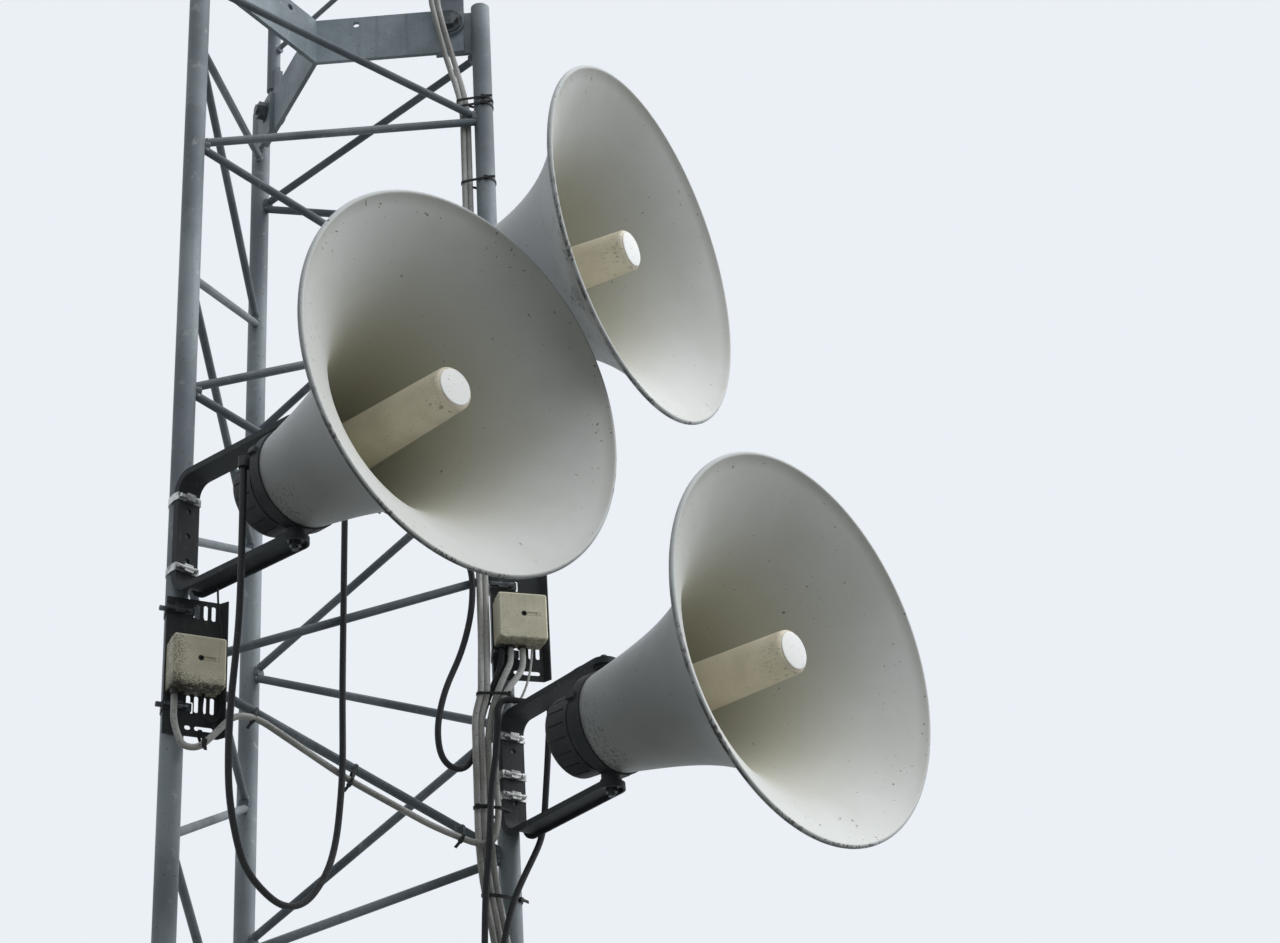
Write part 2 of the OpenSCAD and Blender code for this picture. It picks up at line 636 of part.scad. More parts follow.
// Where each driver's cords leave it: the place along the horn, and to which side and way, down or up
EXITS = [[[-24, -1, -1]], [[-24, -1, -1]], [[-26, 1, 1], [-50, 1, 1]]];
gland_s = 75;
gland_z = 8;
cord_split = [118, 118, 48];
function cord_end(k, e) = horn_pivot(HORNS[k])
    + [each rot([e.x, e.y * gland_s], HORNS[k][3]), e.z * (cord_split[k] + 0.2)];
module horn_cord(k) {
    h = HORNS[k];
    color("black") for (e = EXITS[k]) at_horn(h) translate([e.x, e.y * gland_s, 0])
        mirror([0, 0, e.z < 0 ? 1 : 0])
        translate([0, 0, 0.2 - gland_z]) cylinder(h = cord_split[k] + gland_z - 0.2, d = cord_d);
}
function rot(v, a) = [v.x * cos(a) - v.y * sin(a), v.x * sin(a) + v.y * cos(a)];
// From the first horn: a hanging loop, up and along a bracing bar, a loop beside leg C, then the second box
module loop_cord_1() {
    start = cord_end(0, EXITS[0][0]);
    g = box_gland(1, 2);
    color("black") tube(smooth([start, start - [0, 0, 50], off_horn([-75, 15, -233]),
        off_horn([-77, 34, -330]),
        off_horn([-76, 45, -383]), off_horn([-66, 72, -466]), off_horn([-32, 107, -546]),
        off_horn([8, 130, -573]),
        off_horn([44, 150, -585]), off_horn([82, 166, -568]), off_horn([118, 182, -515]),
        before_face(0.454, 35, 2758), before_face(0.477, 26, 2862), before_face(0.484, bar_out, 2995),
        before_face(0.492, bar_out, ca_joints[15] - 130), on_bar(15, 14, 0.56, 2),
        on_bar(15, 14, 0.898, 0), beside_c(-53.5, -bar_out, 3170), beside_c(-76, -bar_out, 3086),
        beside_c(-106, -bar_out, 3023), beside_c(-120, -bar_out, 2956), beside_c(-114, -bar_out, 2908),
        beside_c(-90, -bar_out, 2890), beside_c(-62, -8, 2906), beside_c(-48, -5, 2955),
        beside_c(-37.5, -8, 3005),
        beside_c(-26, -18, 3038), g - [0, 0, 30], g], 45, 3), cord_d);
}
// From the third horn: one cord along the bracket's arm and down the leg, one hanging from the arm
module loop_cord_3() {
    e = EXITS[2];
    start = [cord_end(2, e[0]), cord_end(2, e[1])];
    color("black") {
        tube(smooth([start[0], start[0] + [0, 0, 30], on_bracket(212, 50, 122), on_bracket(196, 8, 122),
            on_bracket(165, -8, 99.3), on_bracket(75, -8, 99.3), on_bracket(46, -10, 115),
            on_bracket(36, -38, 118),
            beside_c(-30, -37, 2932), beside_c(-44, -37, 2857), beside_c(-50, -44.5, 2785),
            beside_c(-56, -34, 2700),
            each into_stub(-57, -26, 0)], 36, 4), cord_d);
        tube(smooth([start[1], start[1] + [0, 0, 30], on_bracket(190, 45, 122), on_bracket(170, 12, 118),
            on_bracket(140, 8, 99.3), on_bracket(106, 8, 99.3), on_bracket(84, 20, 114),
            on_bracket(76, 34, 112),
            on_bracket(74, 29, 60), on_bracket(70, 28, 20), on_bracket(56, 29, -56), on_bracket(47, 30, -100),
            beside_c(6.5, -39, 2731), beside_c(-14.5, -39, 2688), each into_stub(-37, -38, 1)], 32, 4),
            cord_d);
    }
}

/* The parts */
base_plate();
leg(0);  // leg_a
leg(1);  // leg_b
leg(2);  // leg_c
mast_lacing(0, 1, ab_joints);  // lattice_ab
mast_lacing(1, 2, bc_joints);  // lattice_bc
mast_lacing(2, 0, ca_joints);  // lattice_ca
star_bracket();
star_lugs();
star_bolts();
upper_legs();
upper_lacing(0, 1, 0);  // upper_lattice_ab
upper_lacing(1, 2, 20);  // upper_lattice_bc
upper_lacing(2, 0, 40);  // upper_lattice_ca
upper_frame();
bracket(HORNS[0]);  // bracket_1
bracket(HORNS[1]);  // bracket_2
bracket(HORNS[2]);  // bracket_3
band_clamps();
pivot_bolts();
bell(HORNS[0]);  // bell_1
bell(HORNS[1]);  // bell_2
bell(HORNS[2]);  // bell_3
core(HORNS[0]);  // core_1
core(HORNS[1]);  // core_2
core(HORNS[2]);  // core_3
driver(HORNS[0], EXITS[0]);  // driver_1
driver(HORNS[1], EXITS[1]);  // driver_2
driver(HORNS[2], EXITS[2]);  // driver_3
collar(HORNS[0]);  // collar_1
collar(HORNS[1]);  // collar_2
collar(HORNS[2]);  // collar_3
slotted_plate(0);  // slotted_plate_1
slotted_plate(1);  // slotted_plate_2
plate_clamps();
junction_box(0);  // junction_box_1
junction_box(1);  // junction_box_2
conduit_stub();
upper_cables();
feed_cable();
link_cable();
horn_cord(0);  // horn_cord_1
horn_cord(2);  // horn_cord_3
loop_cord_1();
loop_cord_3();
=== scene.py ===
import math
import random

import bmesh
import bpy
from mathutils import Matrix, Vector


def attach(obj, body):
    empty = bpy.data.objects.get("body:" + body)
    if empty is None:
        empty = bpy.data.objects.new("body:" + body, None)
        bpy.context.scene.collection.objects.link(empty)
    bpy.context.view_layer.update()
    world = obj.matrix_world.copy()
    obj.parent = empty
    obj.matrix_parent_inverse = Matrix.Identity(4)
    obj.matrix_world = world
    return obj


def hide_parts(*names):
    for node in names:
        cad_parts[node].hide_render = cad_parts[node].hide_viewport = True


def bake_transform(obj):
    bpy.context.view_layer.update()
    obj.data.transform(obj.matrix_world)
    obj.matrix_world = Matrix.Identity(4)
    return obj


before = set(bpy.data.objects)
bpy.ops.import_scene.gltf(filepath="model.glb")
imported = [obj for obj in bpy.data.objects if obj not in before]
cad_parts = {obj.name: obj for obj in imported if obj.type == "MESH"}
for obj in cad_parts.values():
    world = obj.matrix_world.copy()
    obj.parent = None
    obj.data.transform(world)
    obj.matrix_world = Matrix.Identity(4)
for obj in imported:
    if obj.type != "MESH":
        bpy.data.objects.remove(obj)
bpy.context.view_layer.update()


# The view. The photographer stood in front of the tower, some way to its left, and looked up at
# the horns with a long lens, the picture tilted a little.
EYE = Vector((-1.1445, -3.2041, 1.5947))
YAW = 0.502
PITCH = 0.497
ROLL = -0.068
LENS_MM = 65.66

ahead = Vector((math.sin(YAW) * math.cos(PITCH), math.cos(YAW) * math.cos(PITCH), math.sin(PITCH)))
level_right = Vector((math.cos(YAW), -math.sin(YAW), 0))
level_up = level_right.cross(ahead)
right = math.cos(ROLL) * level_right + math.sin(ROLL) * level_up
up = math.cos(ROLL) * level_up - math.sin(ROLL) * level_right
camera_data = bpy.data.cameras.new("photo_view")
camera_data.lens = LENS_MM
camera_data.clip_end = 100
camera = bpy.data.objects.new("photo_view", camera_data)
camera.matrix_world = Matrix.Translation(EYE) @ Matrix((right, up, -ahead)).transposed().to_4x4()
bpy.context.scene.collection.objects.link(camera)
bpy.context.scene.camera = camera


# The mast. Three hot-dip galvanised tubes with a zigzag of round bars welded to them on each side,
# gone blue-grey, with darker stains that run down, paler scuffs and specks of rust.
class Socket:
    """A value in a material, so that shader maths is written as plain arithmetic"""

    def __init__(self, tree, output):
        self.tree = tree
        self.output = output

    def maths(self, operation, *others):
        node = self.tree.nodes.new("ShaderNodeMath")
        node.operation = operation
        for place, value in enumerate(others):
            if isinstance(value, Socket):
                self.tree.links.new(value.output, node.inputs[place])
            else:
                node.inputs[place].default_value = value
        return Socket(self.tree, node.outputs[0])

    def __add__(self, other):
        return self.maths("ADD", self, other)

    def __radd__(self, other):
        return self.maths("ADD", other, self)

    def __sub__(self, other):
        return self.maths("SUBTRACT", self, other)

    def __rsub__(self, other):
        return self.maths("SUBTRACT", other, self)

    def __mul__(self, other):
        return self.maths("MULTIPLY", self, other)

    def __rmul__(self, other):
        return self.maths("MULTIPLY", other, self)

    def __pow__(self, other):
        return self.maths("POWER", self, other)

    def between(self, low, high):
        """0 below the low value, 1 above the high one and smooth between them"""
        node = self.tree.nodes.new("ShaderNodeMapRange")
        node.interpolation_type = "SMOOTHSTEP"
        node.inputs["From Min"].default_value = low
        node.inputs["From Max"].default_value = high
        self.tree.links.new(self.output, node.inputs["Value"])
        return Socket(self.tree, node.outputs[0])


def colour(red, green, blue):
    """A colour read as it shows on a screen, 0 to 255, as the light it stands for"""
    return tuple((c / 255 / 12.92 if c / 255 <= 0.04045 else ((c / 255 + 0.055) / 1.055) ** 2.4)
                 for c in (red, green, blue)) + (1.0,)


def add_node(tree, kind, settings=None, **sockets):
    """A node of this kind with its settings, its sockets set to values or linked"""
    made = tree.nodes.new(kind)
    for name, value in (settings or {}).items():
        setattr(made, name, value)
    for name, value in sockets.items():
        socket = made.inputs[name.replace("_", " ")]
        if isinstance(value, Socket):
            tree.links.new(value.output, socket)
        elif isinstance(value, bpy.types.NodeSocket):
            tree.links.new(value, socket)
        else:
            socket.default_value = value
    return made


class Finish:
    """A material in the making: its patterns lie in the object's own metres"""

    def __init__(self, name, metallic=0.0, gloss=0.5):
        self.material = bpy.data.materials.new(name)
        self.material.use_nodes = True
        self.tree = self.material.node_tree
        self.shader = self.tree.nodes["Principled BSDF"]
        self.shader.inputs["Metallic"].default_value = metallic
        self.shader.inputs["Specular IOR Level"].default_value = gloss
        self.place = self.node("ShaderNodeTexCoord").outputs["Object"]

    def node(self, kind, settings=None, **sockets):
        return add_node(self.tree, kind, settings, **sockets)

    def away_from(self, point):
        """How each place lies from a point"""
        node = self.node("ShaderNodeVectorMath", {"operation": "SUBTRACT"}, Vector=self.place)
        node.inputs[1].default_value = point
        return node.outputs[0]

    def along(self, direction, away):
        node = self.node("ShaderNodeVectorMath", {"operation": "DOT_PRODUCT"}, Vector=away)
        node.inputs[1].default_value = direction
        return Socket(self.tree, node.outputs["Value"])

    def stretched(self, x, y, z):
        return self.node("ShaderNodeMapping", Vector=self.place, Scale=(x, y, z)).outputs[0]

    def noise(self, scale, detail=3.0, rough=0.55, vector=None):
        node = self.node("ShaderNodeTexNoise", Vector=vector or self.place, Scale=scale, Detail=detail,
                         Roughness=rough)
        return Socket(self.tree, node.outputs["Fac"])

    def mixed(self, amount, low, high):
        node = self.node("ShaderNodeMix", {"data_type": "RGBA"}, Factor=amount)
        for place, value in ((6, low), (7, high)):
            if isinstance(value, Socket):
                self.tree.links.new(value.output, node.inputs[place])
            else:
                node.inputs[place].default_value = value
        return Socket(self.tree, node.outputs[2])

    def finish(self, shade, roughness, relief=None, height=0.001, strength=0.4):
        self.tree.links.new(shade.output, self.shader.inputs["Base Color"])
        if isinstance(roughness, Socket):
            self.tree.links.new(roughness.output, self.shader.inputs["Roughness"])
        else:
            self.shader.inputs["Roughness"].default_value = roughness
        if relief is not None:
            bump = self.node("ShaderNodeBump", Height=relief, Distance=height, Strength=strength)
            self.tree.links.new(bump.outputs[0], self.shader.inputs["Normal"])
        return self.material


def paint_node(name, material):
    """The solid keeps its shape and takes this finish"""
    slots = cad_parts[name].data.materials
    slots.clear()
    slots.append(material)


def galvanised(name, base, dark, pale, rust):
    """Weathered zinc: cloudy patches, stains that run down, a few pale scuffs and specks of rust"""
    made = Finish(name, metallic=0.15)
    clouds = made.noise(5, 5)
    runs = made.noise(1, 4, vector=made.stretched(60, 60, 3))
    scuffs = made.noise(38, 4, 0.65).between(0.60, 0.74)
    specks = made.noise(190, 2).between(0.66, 0.74)
    shade = made.mixed(clouds.between(0.35, 0.68), base, dark)
    shade = made.mixed(runs.between(0.52, 0.72) * 0.55, shade, dark)
    shade = made.mixed(scuffs * 0.7, shade, pale)
    shade = made.mixed(specks * 0.8, shade, rust)
    return made.finish(shade, 0.50 + clouds * 0.25, made.noise(140, 4), 0.0006, 0.35)


RUST = colour(92, 74, 58)
leg_zinc = galvanised("leg_zinc", colour(140, 149, 154), colour(106, 115, 121), colour(174, 180, 181), RUST)
bar_zinc = galvanised("bar_zinc", colour(116, 125, 130), colour(80, 89, 95), colour(150, 156, 158), RUST)
for name in ("leg_a", "leg_b", "leg_c", "star_lugs"):
    paint_node(name, leg_zinc)
for name in ("lattice_ab", "lattice_bc", "lattice_ca"):
    paint_node(name, bar_zinc)


# The welds: each bar's end is stuck to its leg with two lumpy beads, above and below, paler than the
# zinc round them. No two beads are quite alike.
LEG_SIDE = 0.525
LEG_RADIUS = 0.017
LEG_CIRCLE = LEG_SIDE / math.sqrt(3)
LEG_AT = [Vector((LEG_CIRCLE * math.cos(math.radians(a)), LEG_CIRCLE * math.sin(math.radians(a)), 0))
          for a in (210, 90, 330)]
# The heights of each side's brace joints from the foot up, on its two legs in turn
FRONT_JOINTS = [0.060] + [0.186 + 0.235 * k for k in range(17)] + [4.144, 4.288]
LEFT_JOINTS = [0.060] + [0.162 + 0.235 * k for k in range(18)] + [4.294]
REAR_JOINTS = [0.060] + [0.162 + 0.235 * k for k in range(17)] + [4.181, 4.294]
SIDES = [("ab", 0, 1, LEFT_JOINTS), ("bc", 1, 2, REAR_JOINTS), ("ca", 2, 0, FRONT_JOINTS)]
WELD_RISE = 0.0100
WELD_OUT = 0.0035
WELD_SLIP = 0.0015
BEAD_RADIUS = 0.0062


def piece_from(name, material, body):
    """What has just been modelled, as a finished piece: its place is put in its mesh"""
    made = bpy.context.active_object
    made.name = name
    made.data.materials.clear()
    made.data.materials.append(material)
    bpy.ops.object.transform_apply(location=True, rotation=True, scale=True)
    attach(made, body)
    bpy.ops.object.select_all(action="DESELECT")
    return made


weld_zinc = galvanised("weld_zinc", colour(172, 176, 178), colour(138, 142, 144), colour(200, 202, 202),
                       RUST)
lumps = random.Random(7)
for side_name, first, second, levels in SIDES:
    bpy.ops.object.select_all(action="DESELECT")
    beads = []
    for k, level in enumerate(levels):
        here = LEG_AT[(first, second)[k % 2]]
        there = LEG_AT[(first, second)[(k + 1) % 2]]
        out = (there - here).normalized()
        for rise in (-1, 1):
            bpy.ops.mesh.primitive_ico_sphere_add(subdivisions=2, radius=BEAD_RADIUS)
            bead = bpy.context.active_object
            bead.scale = (0.55 + 0.3 * lumps.random(), 1.0 + 0.4 * lumps.random(),
                          0.6 + 0.4 * lumps.random())
            bead.rotation_euler.z = math.atan2(out.y, out.x)
            slip = WELD_SLIP * (lumps.random() - 0.5)
            height = level + rise * WELD_RISE + slip
            bead.location = here + out * (LEG_RADIUS + WELD_OUT) + Vector((0, 0, height))
            beads.append(bead)
    for bead in beads:
        bead.select_set(True)
    bpy.ops.object.join()
    bpy.ops.object.shade_smooth()
    piece_from("weld_beads_" + side_name, weld_zinc, "tower")


# The base plate, the star bracket and the section above it: the same steel as the mast. The plate and
# the star are a little paler, and the upper section is bluer.
star_zinc = galvanised("star_zinc", colour(152, 164, 171), colour(112, 123, 130), colour(178, 184, 187),
                       RUST)
upper_zinc = galvanised("upper_zinc", colour(126, 135, 143), colour(92, 101, 108), colour(158, 164, 168),
                        RUST)
paint_node("star_bracket", star_zinc)
paint_node("base_plate", star_zinc)
for name in ("upper_legs", "upper_frame", "upper_lattice_ab", "upper_lattice_bc", "upper_lattice_ca"):
    paint_node(name, upper_zinc)


# Bolts and band clamps: zinc-plated steel. The horns' bands are bright where clean and dull in the
# slots, and the bolts and the plates' bands are dark.
def plated(name, bright, dull, metallic):
    made = Finish(name, metallic=metallic)
    clouds = made.noise(60, 4)
    shade = made.mixed(clouds.between(0.42, 0.62), bright, dull)
    return made.finish(shade, 0.28 + clouds * 0.35, made.noise(420, 2), 0.0003, 0.3)


clamp_plate = plated("clamp_plate", colour(206, 208, 206), colour(142, 144, 142), 0.75)
bolt_plate = plated("bolt_plate", colour(92, 98, 102), colour(58, 62, 64), 0.5)
paint_node("band_clamps", clamp_plate)
paint_node("pivot_bolts", bolt_plate)
paint_node("star_bolts", bolt_plate)
paint_node("plate_clamps", bolt_plate)


# The horn brackets and slotted plates: black-painted sheet steel, its paint chalky and rubbed thin on
# the outside, with a greenish bloom.
def black_paint(name, base, bloom, worn):
    made = Finish(name, gloss=0.3)
    clouds = made.noise(14, 5, 0.6)
    rubs = made.noise(1, 4, vector=made.stretched(110, 110, 26)).between(0.60, 0.74)
    chips = made.noise(150, 3).between(0.68, 0.74)
    shade = made.mixed(clouds.between(0.45, 0.70), base, bloom)
    shade = made.mixed(rubs * 0.5, shade, worn)
    shade = made.mixed(chips * 0.5, shade, worn)
    return made.finish(shade, 0.48 + clouds * 0.3, made.noise(220, 3), 0.0004, 0.3)


bracket_black = black_paint("bracket_black", colour(38, 42, 45), colour(60, 66, 65), colour(96, 100, 96))
plate_black = black_paint("plate_black", colour(40, 43, 45), colour(58, 62, 62), colour(88, 90, 88))
for name in ("bracket_1", "bracket_2", "bracket_3"):
    paint_node(name, bracket_black)
for name in ("slotted_plate_1", "slotted_plate_2"):
    paint_node(name, plate_black)


# The horns' bells: spun sheet, its edge rolled outwards, enamelled pale grey, a little cooler outside and
# yellowed in the throat, darker there too as painted shade. Dark specks lie towards the rim, worn flecks on
# the outside near the neck and the rim, and a dark line on the lower side of the rolled edge, partly grime
# and partly painted shade under the lip.
NECK_X = 0.014
NECK_RADIUS = 0.076
LIP_X = 0.367
LIP_RADIUS = 0.280
LIP_ROLL = 0.004
SHEET = 0.0024
BELL_STEPS = 46
LIP_STEPS = 12
BELL_SIDES = 144
BRACKET_REACH = 0.256
# Each horn: its leg, the bracket's direction, the pivot's height and the direction of its mouth
HORNS = [(0, -67, 3.212, -71.5), (2, -133, 3.578, -55.5), (2, -79, 2.892, -68.5)]


def turned(x, y, degrees, z=0.0):
    turn = math.radians(degrees)
    return Vector((x * math.cos(turn) - y * math.sin(turn), x * math.sin(turn) + y * math.cos(turn), z))


def pivot(horn):
    leg, bracket_turn, height, _ = HORNS[horn]
    return LEG_AT[leg] + turned(BRACKET_REACH, 0, bracket_turn, height)


def flare(t):
    """How far the bell has opened, 0 to 1, at a share of its length"""
    return 0.30 * t + 0.10 * t ** 2 + 0.60 * t ** 4.2


def spun(profile, horn, sides):
    """A closed outline, given as places along the horn's axis with radii, turned about that axis"""
    bpy.ops.object.select_all(action="DESELECT")
    bpy.ops.mesh.primitive_circle_add(vertices=len(profile), radius=0.1)
    made = bpy.context.active_object
    for vertex, (along, radius) in zip(made.data.vertices, profile):
        vertex.co = (along, 0, radius)
    bpy.ops.object.mode_set(mode="EDIT")
    bpy.ops.mesh.select_all(action="SELECT")
    bpy.ops.mesh.spin(steps=sides, angle=2 * math.pi, center=(0, 0, 0), axis=(1, 0, 0))
    bpy.ops.mesh.select_all(action="SELECT")
    bpy.ops.mesh.remove_doubles(threshold=0.00002)
    bpy.ops.mesh.normals_make_consistent(inside=False)
    bpy.ops.object.mode_set(mode="OBJECT")
    bpy.ops.object.shade_smooth_by_angle(angle=math.radians(40))
    made.location = pivot(horn)
    made.rotation_euler.z = math.radians(HORNS[horn][3])
    return made


def bell_finish(horn, inside):
    """Enamel, warmer, yellowed and darker as painted shade towards the neck inside; specked and worn at the
    lip and neck outside, with a dark line under the lip, partly grime and partly painted shade
    """
    made = Finish("bell_enamel_%d_%s" % (horn + 1, "inside" if inside else "outside"), gloss=0.25)
    away = made.away_from(pivot(horn))
    reach = made.along(turned(1, 0, HORNS[horn][3]), away)
    size = made.node("ShaderNodeVectorMath", {"operation": "LENGTH"}, Vector=away)
    length = Socket(made.tree, size.outputs["Value"])
    radius = (length * length - reach * reach) ** 0.5
    clouds = made.noise(6, 5)
    gathered = made.noise(9, 2).between(0.50, 0.66) * 0.05 + radius.between(0.19, 0.275) * 0.035
    specks = (made.noise(150, 2) + gathered).between(0.745, 0.775)
    scuffs = made.noise(1, 5, 0.7, vector=made.stretched(30, 30, 90)).between(0.64, 0.78)
    if inside:
        # Towards the neck inside: warmer and darker, partly yellowing and partly painted shade in the throat
        throat_yellowing_and_shade = 1 - radius.between(0.09, 0.23)
        shade = made.mixed(clouds.between(0.35, 0.70), colour(202, 204, 201), colour(194, 195, 190))
        shade = made.mixed(throat_yellowing_and_shade * 0.7, shade, colour(184, 182, 160))
    else:
        shade = made.mixed(clouds.between(0.35, 0.70), colour(190, 194, 195), colour(178, 182, 182))
    shade = made.mixed(scuffs * 0.3, shade, colour(160, 160, 152))
    shade = made.mixed(specks * 0.8, shade, colour(84, 82, 72))
    if not inside:
        low = 1 - made.along((0, 0, 1), away).between(-0.20, 0.16)
        # A dark line along the lower side of the rolled edge: partly grime, partly painted shade under the
        # lip
        rim = radius.between(LIP_RADIUS + 0.65 * LIP_ROLL, LIP_RADIUS + LIP_ROLL)
        rim_grime_and_shade = rim * made.noise(25, 4).between(0.38, 0.60)
        shade = made.mixed(rim_grime_and_shade * low * 0.8, shade, colour(52, 52, 48))
        patches = made.noise(16, 3).between(0.46, 0.58)
        worn = patches * (radius.between(0.12, 0.24) + 1 - radius.between(0.080, 0.095)) * low
        grain = made.noise(1, 3, 0.7, vector=made.stretched(260, 260, 90))
        flecks = (grain + worn * 0.13).between(0.62, 0.66)
        shade = made.mixed(flecks * worn * 0.8, shade, colour(58, 56, 48))
    return made.finish(shade, 0.42 + clouds * 0.2, made.noise(90, 3), 0.0006, 0.12)


bell_outline = []
for k in range(BELL_STEPS):
    t = k / BELL_STEPS
    bell_outline.append((NECK_X + (LIP_X - NECK_X) * t, NECK_RADIUS + (LIP_RADIUS - NECK_RADIUS) * flare(t)))
for k in range(LIP_STEPS + 1):
    a = math.radians(-60 + 180 * k / LIP_STEPS)
    bell_outline.append((LIP_X + LIP_ROLL * math.sin(a), LIP_RADIUS + LIP_ROLL * math.cos(a)))
for k in range(BELL_STEPS, -1, -1):
    t = k / BELL_STEPS
    bell_outline.append((NECK_X + (LIP_X - NECK_X) * t + SHEET * 0.5 * t,
                         NECK_RADIUS + (LIP_RADIUS - NECK_RADIUS) * flare(t) - SHEET * (1 + 0.4 * t)))
for horn in range(3):
    bell = spun(bell_outline, horn, BELL_SIDES)
    inner = []
    for face in bell.data.polygons:
        faces_in = face.center.yz.dot(face.normal.yz) < 0
        on_front = face.center.x > LIP_X and face.center.yz.length < LIP_RADIUS
        if faces_in or on_front:
            inner.append(face.index)
    bell = piece_from("bell_enamelled_%d" % (horn + 1), bell_finish(horn, False), "horn_%d" % (horn + 1))
    bell.data.materials.append(bell_finish(horn, True))
    for index in inner:
        bell.data.polygons[index].material_index = 1
    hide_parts("bell_%d" % (horn + 1))


# The centre tubes: moulded cream plastic, a little narrower to the front, with a rounded end and a white
# disc pressed into it. Dusty, with short scratches at the front end.
CORE_FRONT = 0.345
CORE_BACK_RADIUS = 0.040
CORE_RADIUS = 0.032
CORE_ROUND = 0.007
DISC_RADIUS = 0.027
DISC_OUT = 0.0014
DISC_GROOVE = 0.0008
CORE_SIDES = 96


def core_finish(horn):
    """Dusty cream with a white disc, and short scratches near the front"""
    made = Finish("core_cream_%d" % (horn + 1))
    away = made.away_from(pivot(horn))
    reach = made.along(turned(1, 0, HORNS[horn][3]), away)
    disc = reach.between(CORE_FRONT + 0.0001, CORE_FRONT + 0.0003)
    clouds = made.noise(16, 4)
    specks = (made.noise(240, 2) + reach.between(0.24, 0.34) * 0.03).between(0.70, 0.74)
    grain = made.noise(1, 3, 0.7, vector=made.stretched(90, 90, 420))
    scratches = (grain + reach.between(0.27, 0.34) * 0.05).between(0.64, 0.68)
    shade = made.mixed(clouds.between(0.35, 0.7), colour(222, 213, 192), colour(208, 199, 177))
    shade = made.mixed(scratches * reach.between(0.27, 0.33) * 0.6, shade, colour(112, 104, 84))
    shade = made.mixed(disc, shade, colour(236, 237, 235))
    shade = made.mixed(specks * 0.6, shade, colour(110, 104, 86))
    return made.finish(shade, 0.40 + clouds * 0.2, made.noise(160, 2), 0.0004, 0.15)


core_outline = [(NECK_X, 0), (NECK_X, CORE_BACK_RADIUS)]
for k in range(8):
    a = math.radians(11.25 * k)
    core_outline.append((CORE_FRONT - CORE_ROUND * (1 - math.sin(a)),
                         CORE_RADIUS - CORE_ROUND * (1 - math.cos(a))))
core_outline += [(CORE_FRONT, DISC_RADIUS + 0.0006),
                 (CORE_FRONT - DISC_GROOVE, DISC_RADIUS + 0.0003),
                 (CORE_FRONT - DISC_GROOVE, DISC_RADIUS),
                 (CORE_FRONT + DISC_OUT - 0.0007, DISC_RADIUS),
                 (CORE_FRONT + DISC_OUT - 0.0002, DISC_RADIUS - 0.0006),
                 (CORE_FRONT + DISC_OUT, DISC_RADIUS - 0.002),
                 (CORE_FRONT + DISC_OUT, 0)]
for horn in range(3):
    spun(core_outline, horn, CORE_SIDES)
    core = piece_from("core_moulded_%d" % (horn + 1), core_finish(horn), "horn_%d" % (horn + 1))
    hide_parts("core_%d" % (horn + 1))


# The drivers and collars: black moulded housings, satin and greyed by dust, and cast collars painted a
# dark grey.
def housing(name, base, dust):
    made = Finish(name, gloss=0.25)
    clouds = made.noise(22, 4)
    fine = made.noise(300, 3).between(0.55, 0.72)
    shade = made.mixed(clouds.between(0.45, 0.72), base, dust)
    shade = made.mixed(fine * 0.4, shade, dust)
    return made.finish(shade, 0.45 + clouds * 0.25, made.noise(340, 3), 0.0004, 0.3)


driver_black = housing("driver_black", colour(53, 55, 57), colour(80, 82, 82))
collar_grey = housing("collar_grey", colour(46, 50, 53), colour(72, 75, 76))
for horn in range(3):
    paint_node("driver_%d" % (horn + 1), driver_black)
    paint_node("collar_%d" % (horn + 1), collar_grey)


# The junction boxes: beige plastic, yellowed, with speckled grime that gathers at the left and lower
# edges and runs down from the lid's joint, and a near-black line along the foot, partly grime and partly
# painted shade. A keyhole with a slot beside it is moulded in each lid, its hole and the slot's groove
# painted dark as painted shade.

# A box's lower left corner is this far to the left of its leg's axis and this far before it
BOX_CORNER = 0.019
# Each plate and its box: the leg, the direction it faces, its lower edge and the box's rise on it
PLATES = [(0, -90, 2.893, 0.062), (2, -100, 3.053, 0.053)]
# The keyhole's place from the box's lower left corner, its radius, and its slot's length and half width
KEY_RIGHT = 0.0406
KEY_RISE = 0.0429
KEY_RADIUS = 0.0044
SLOT_LONG = 0.0270
SLOT_HALF = 0.0031
SLOT_LINE = 0.0006


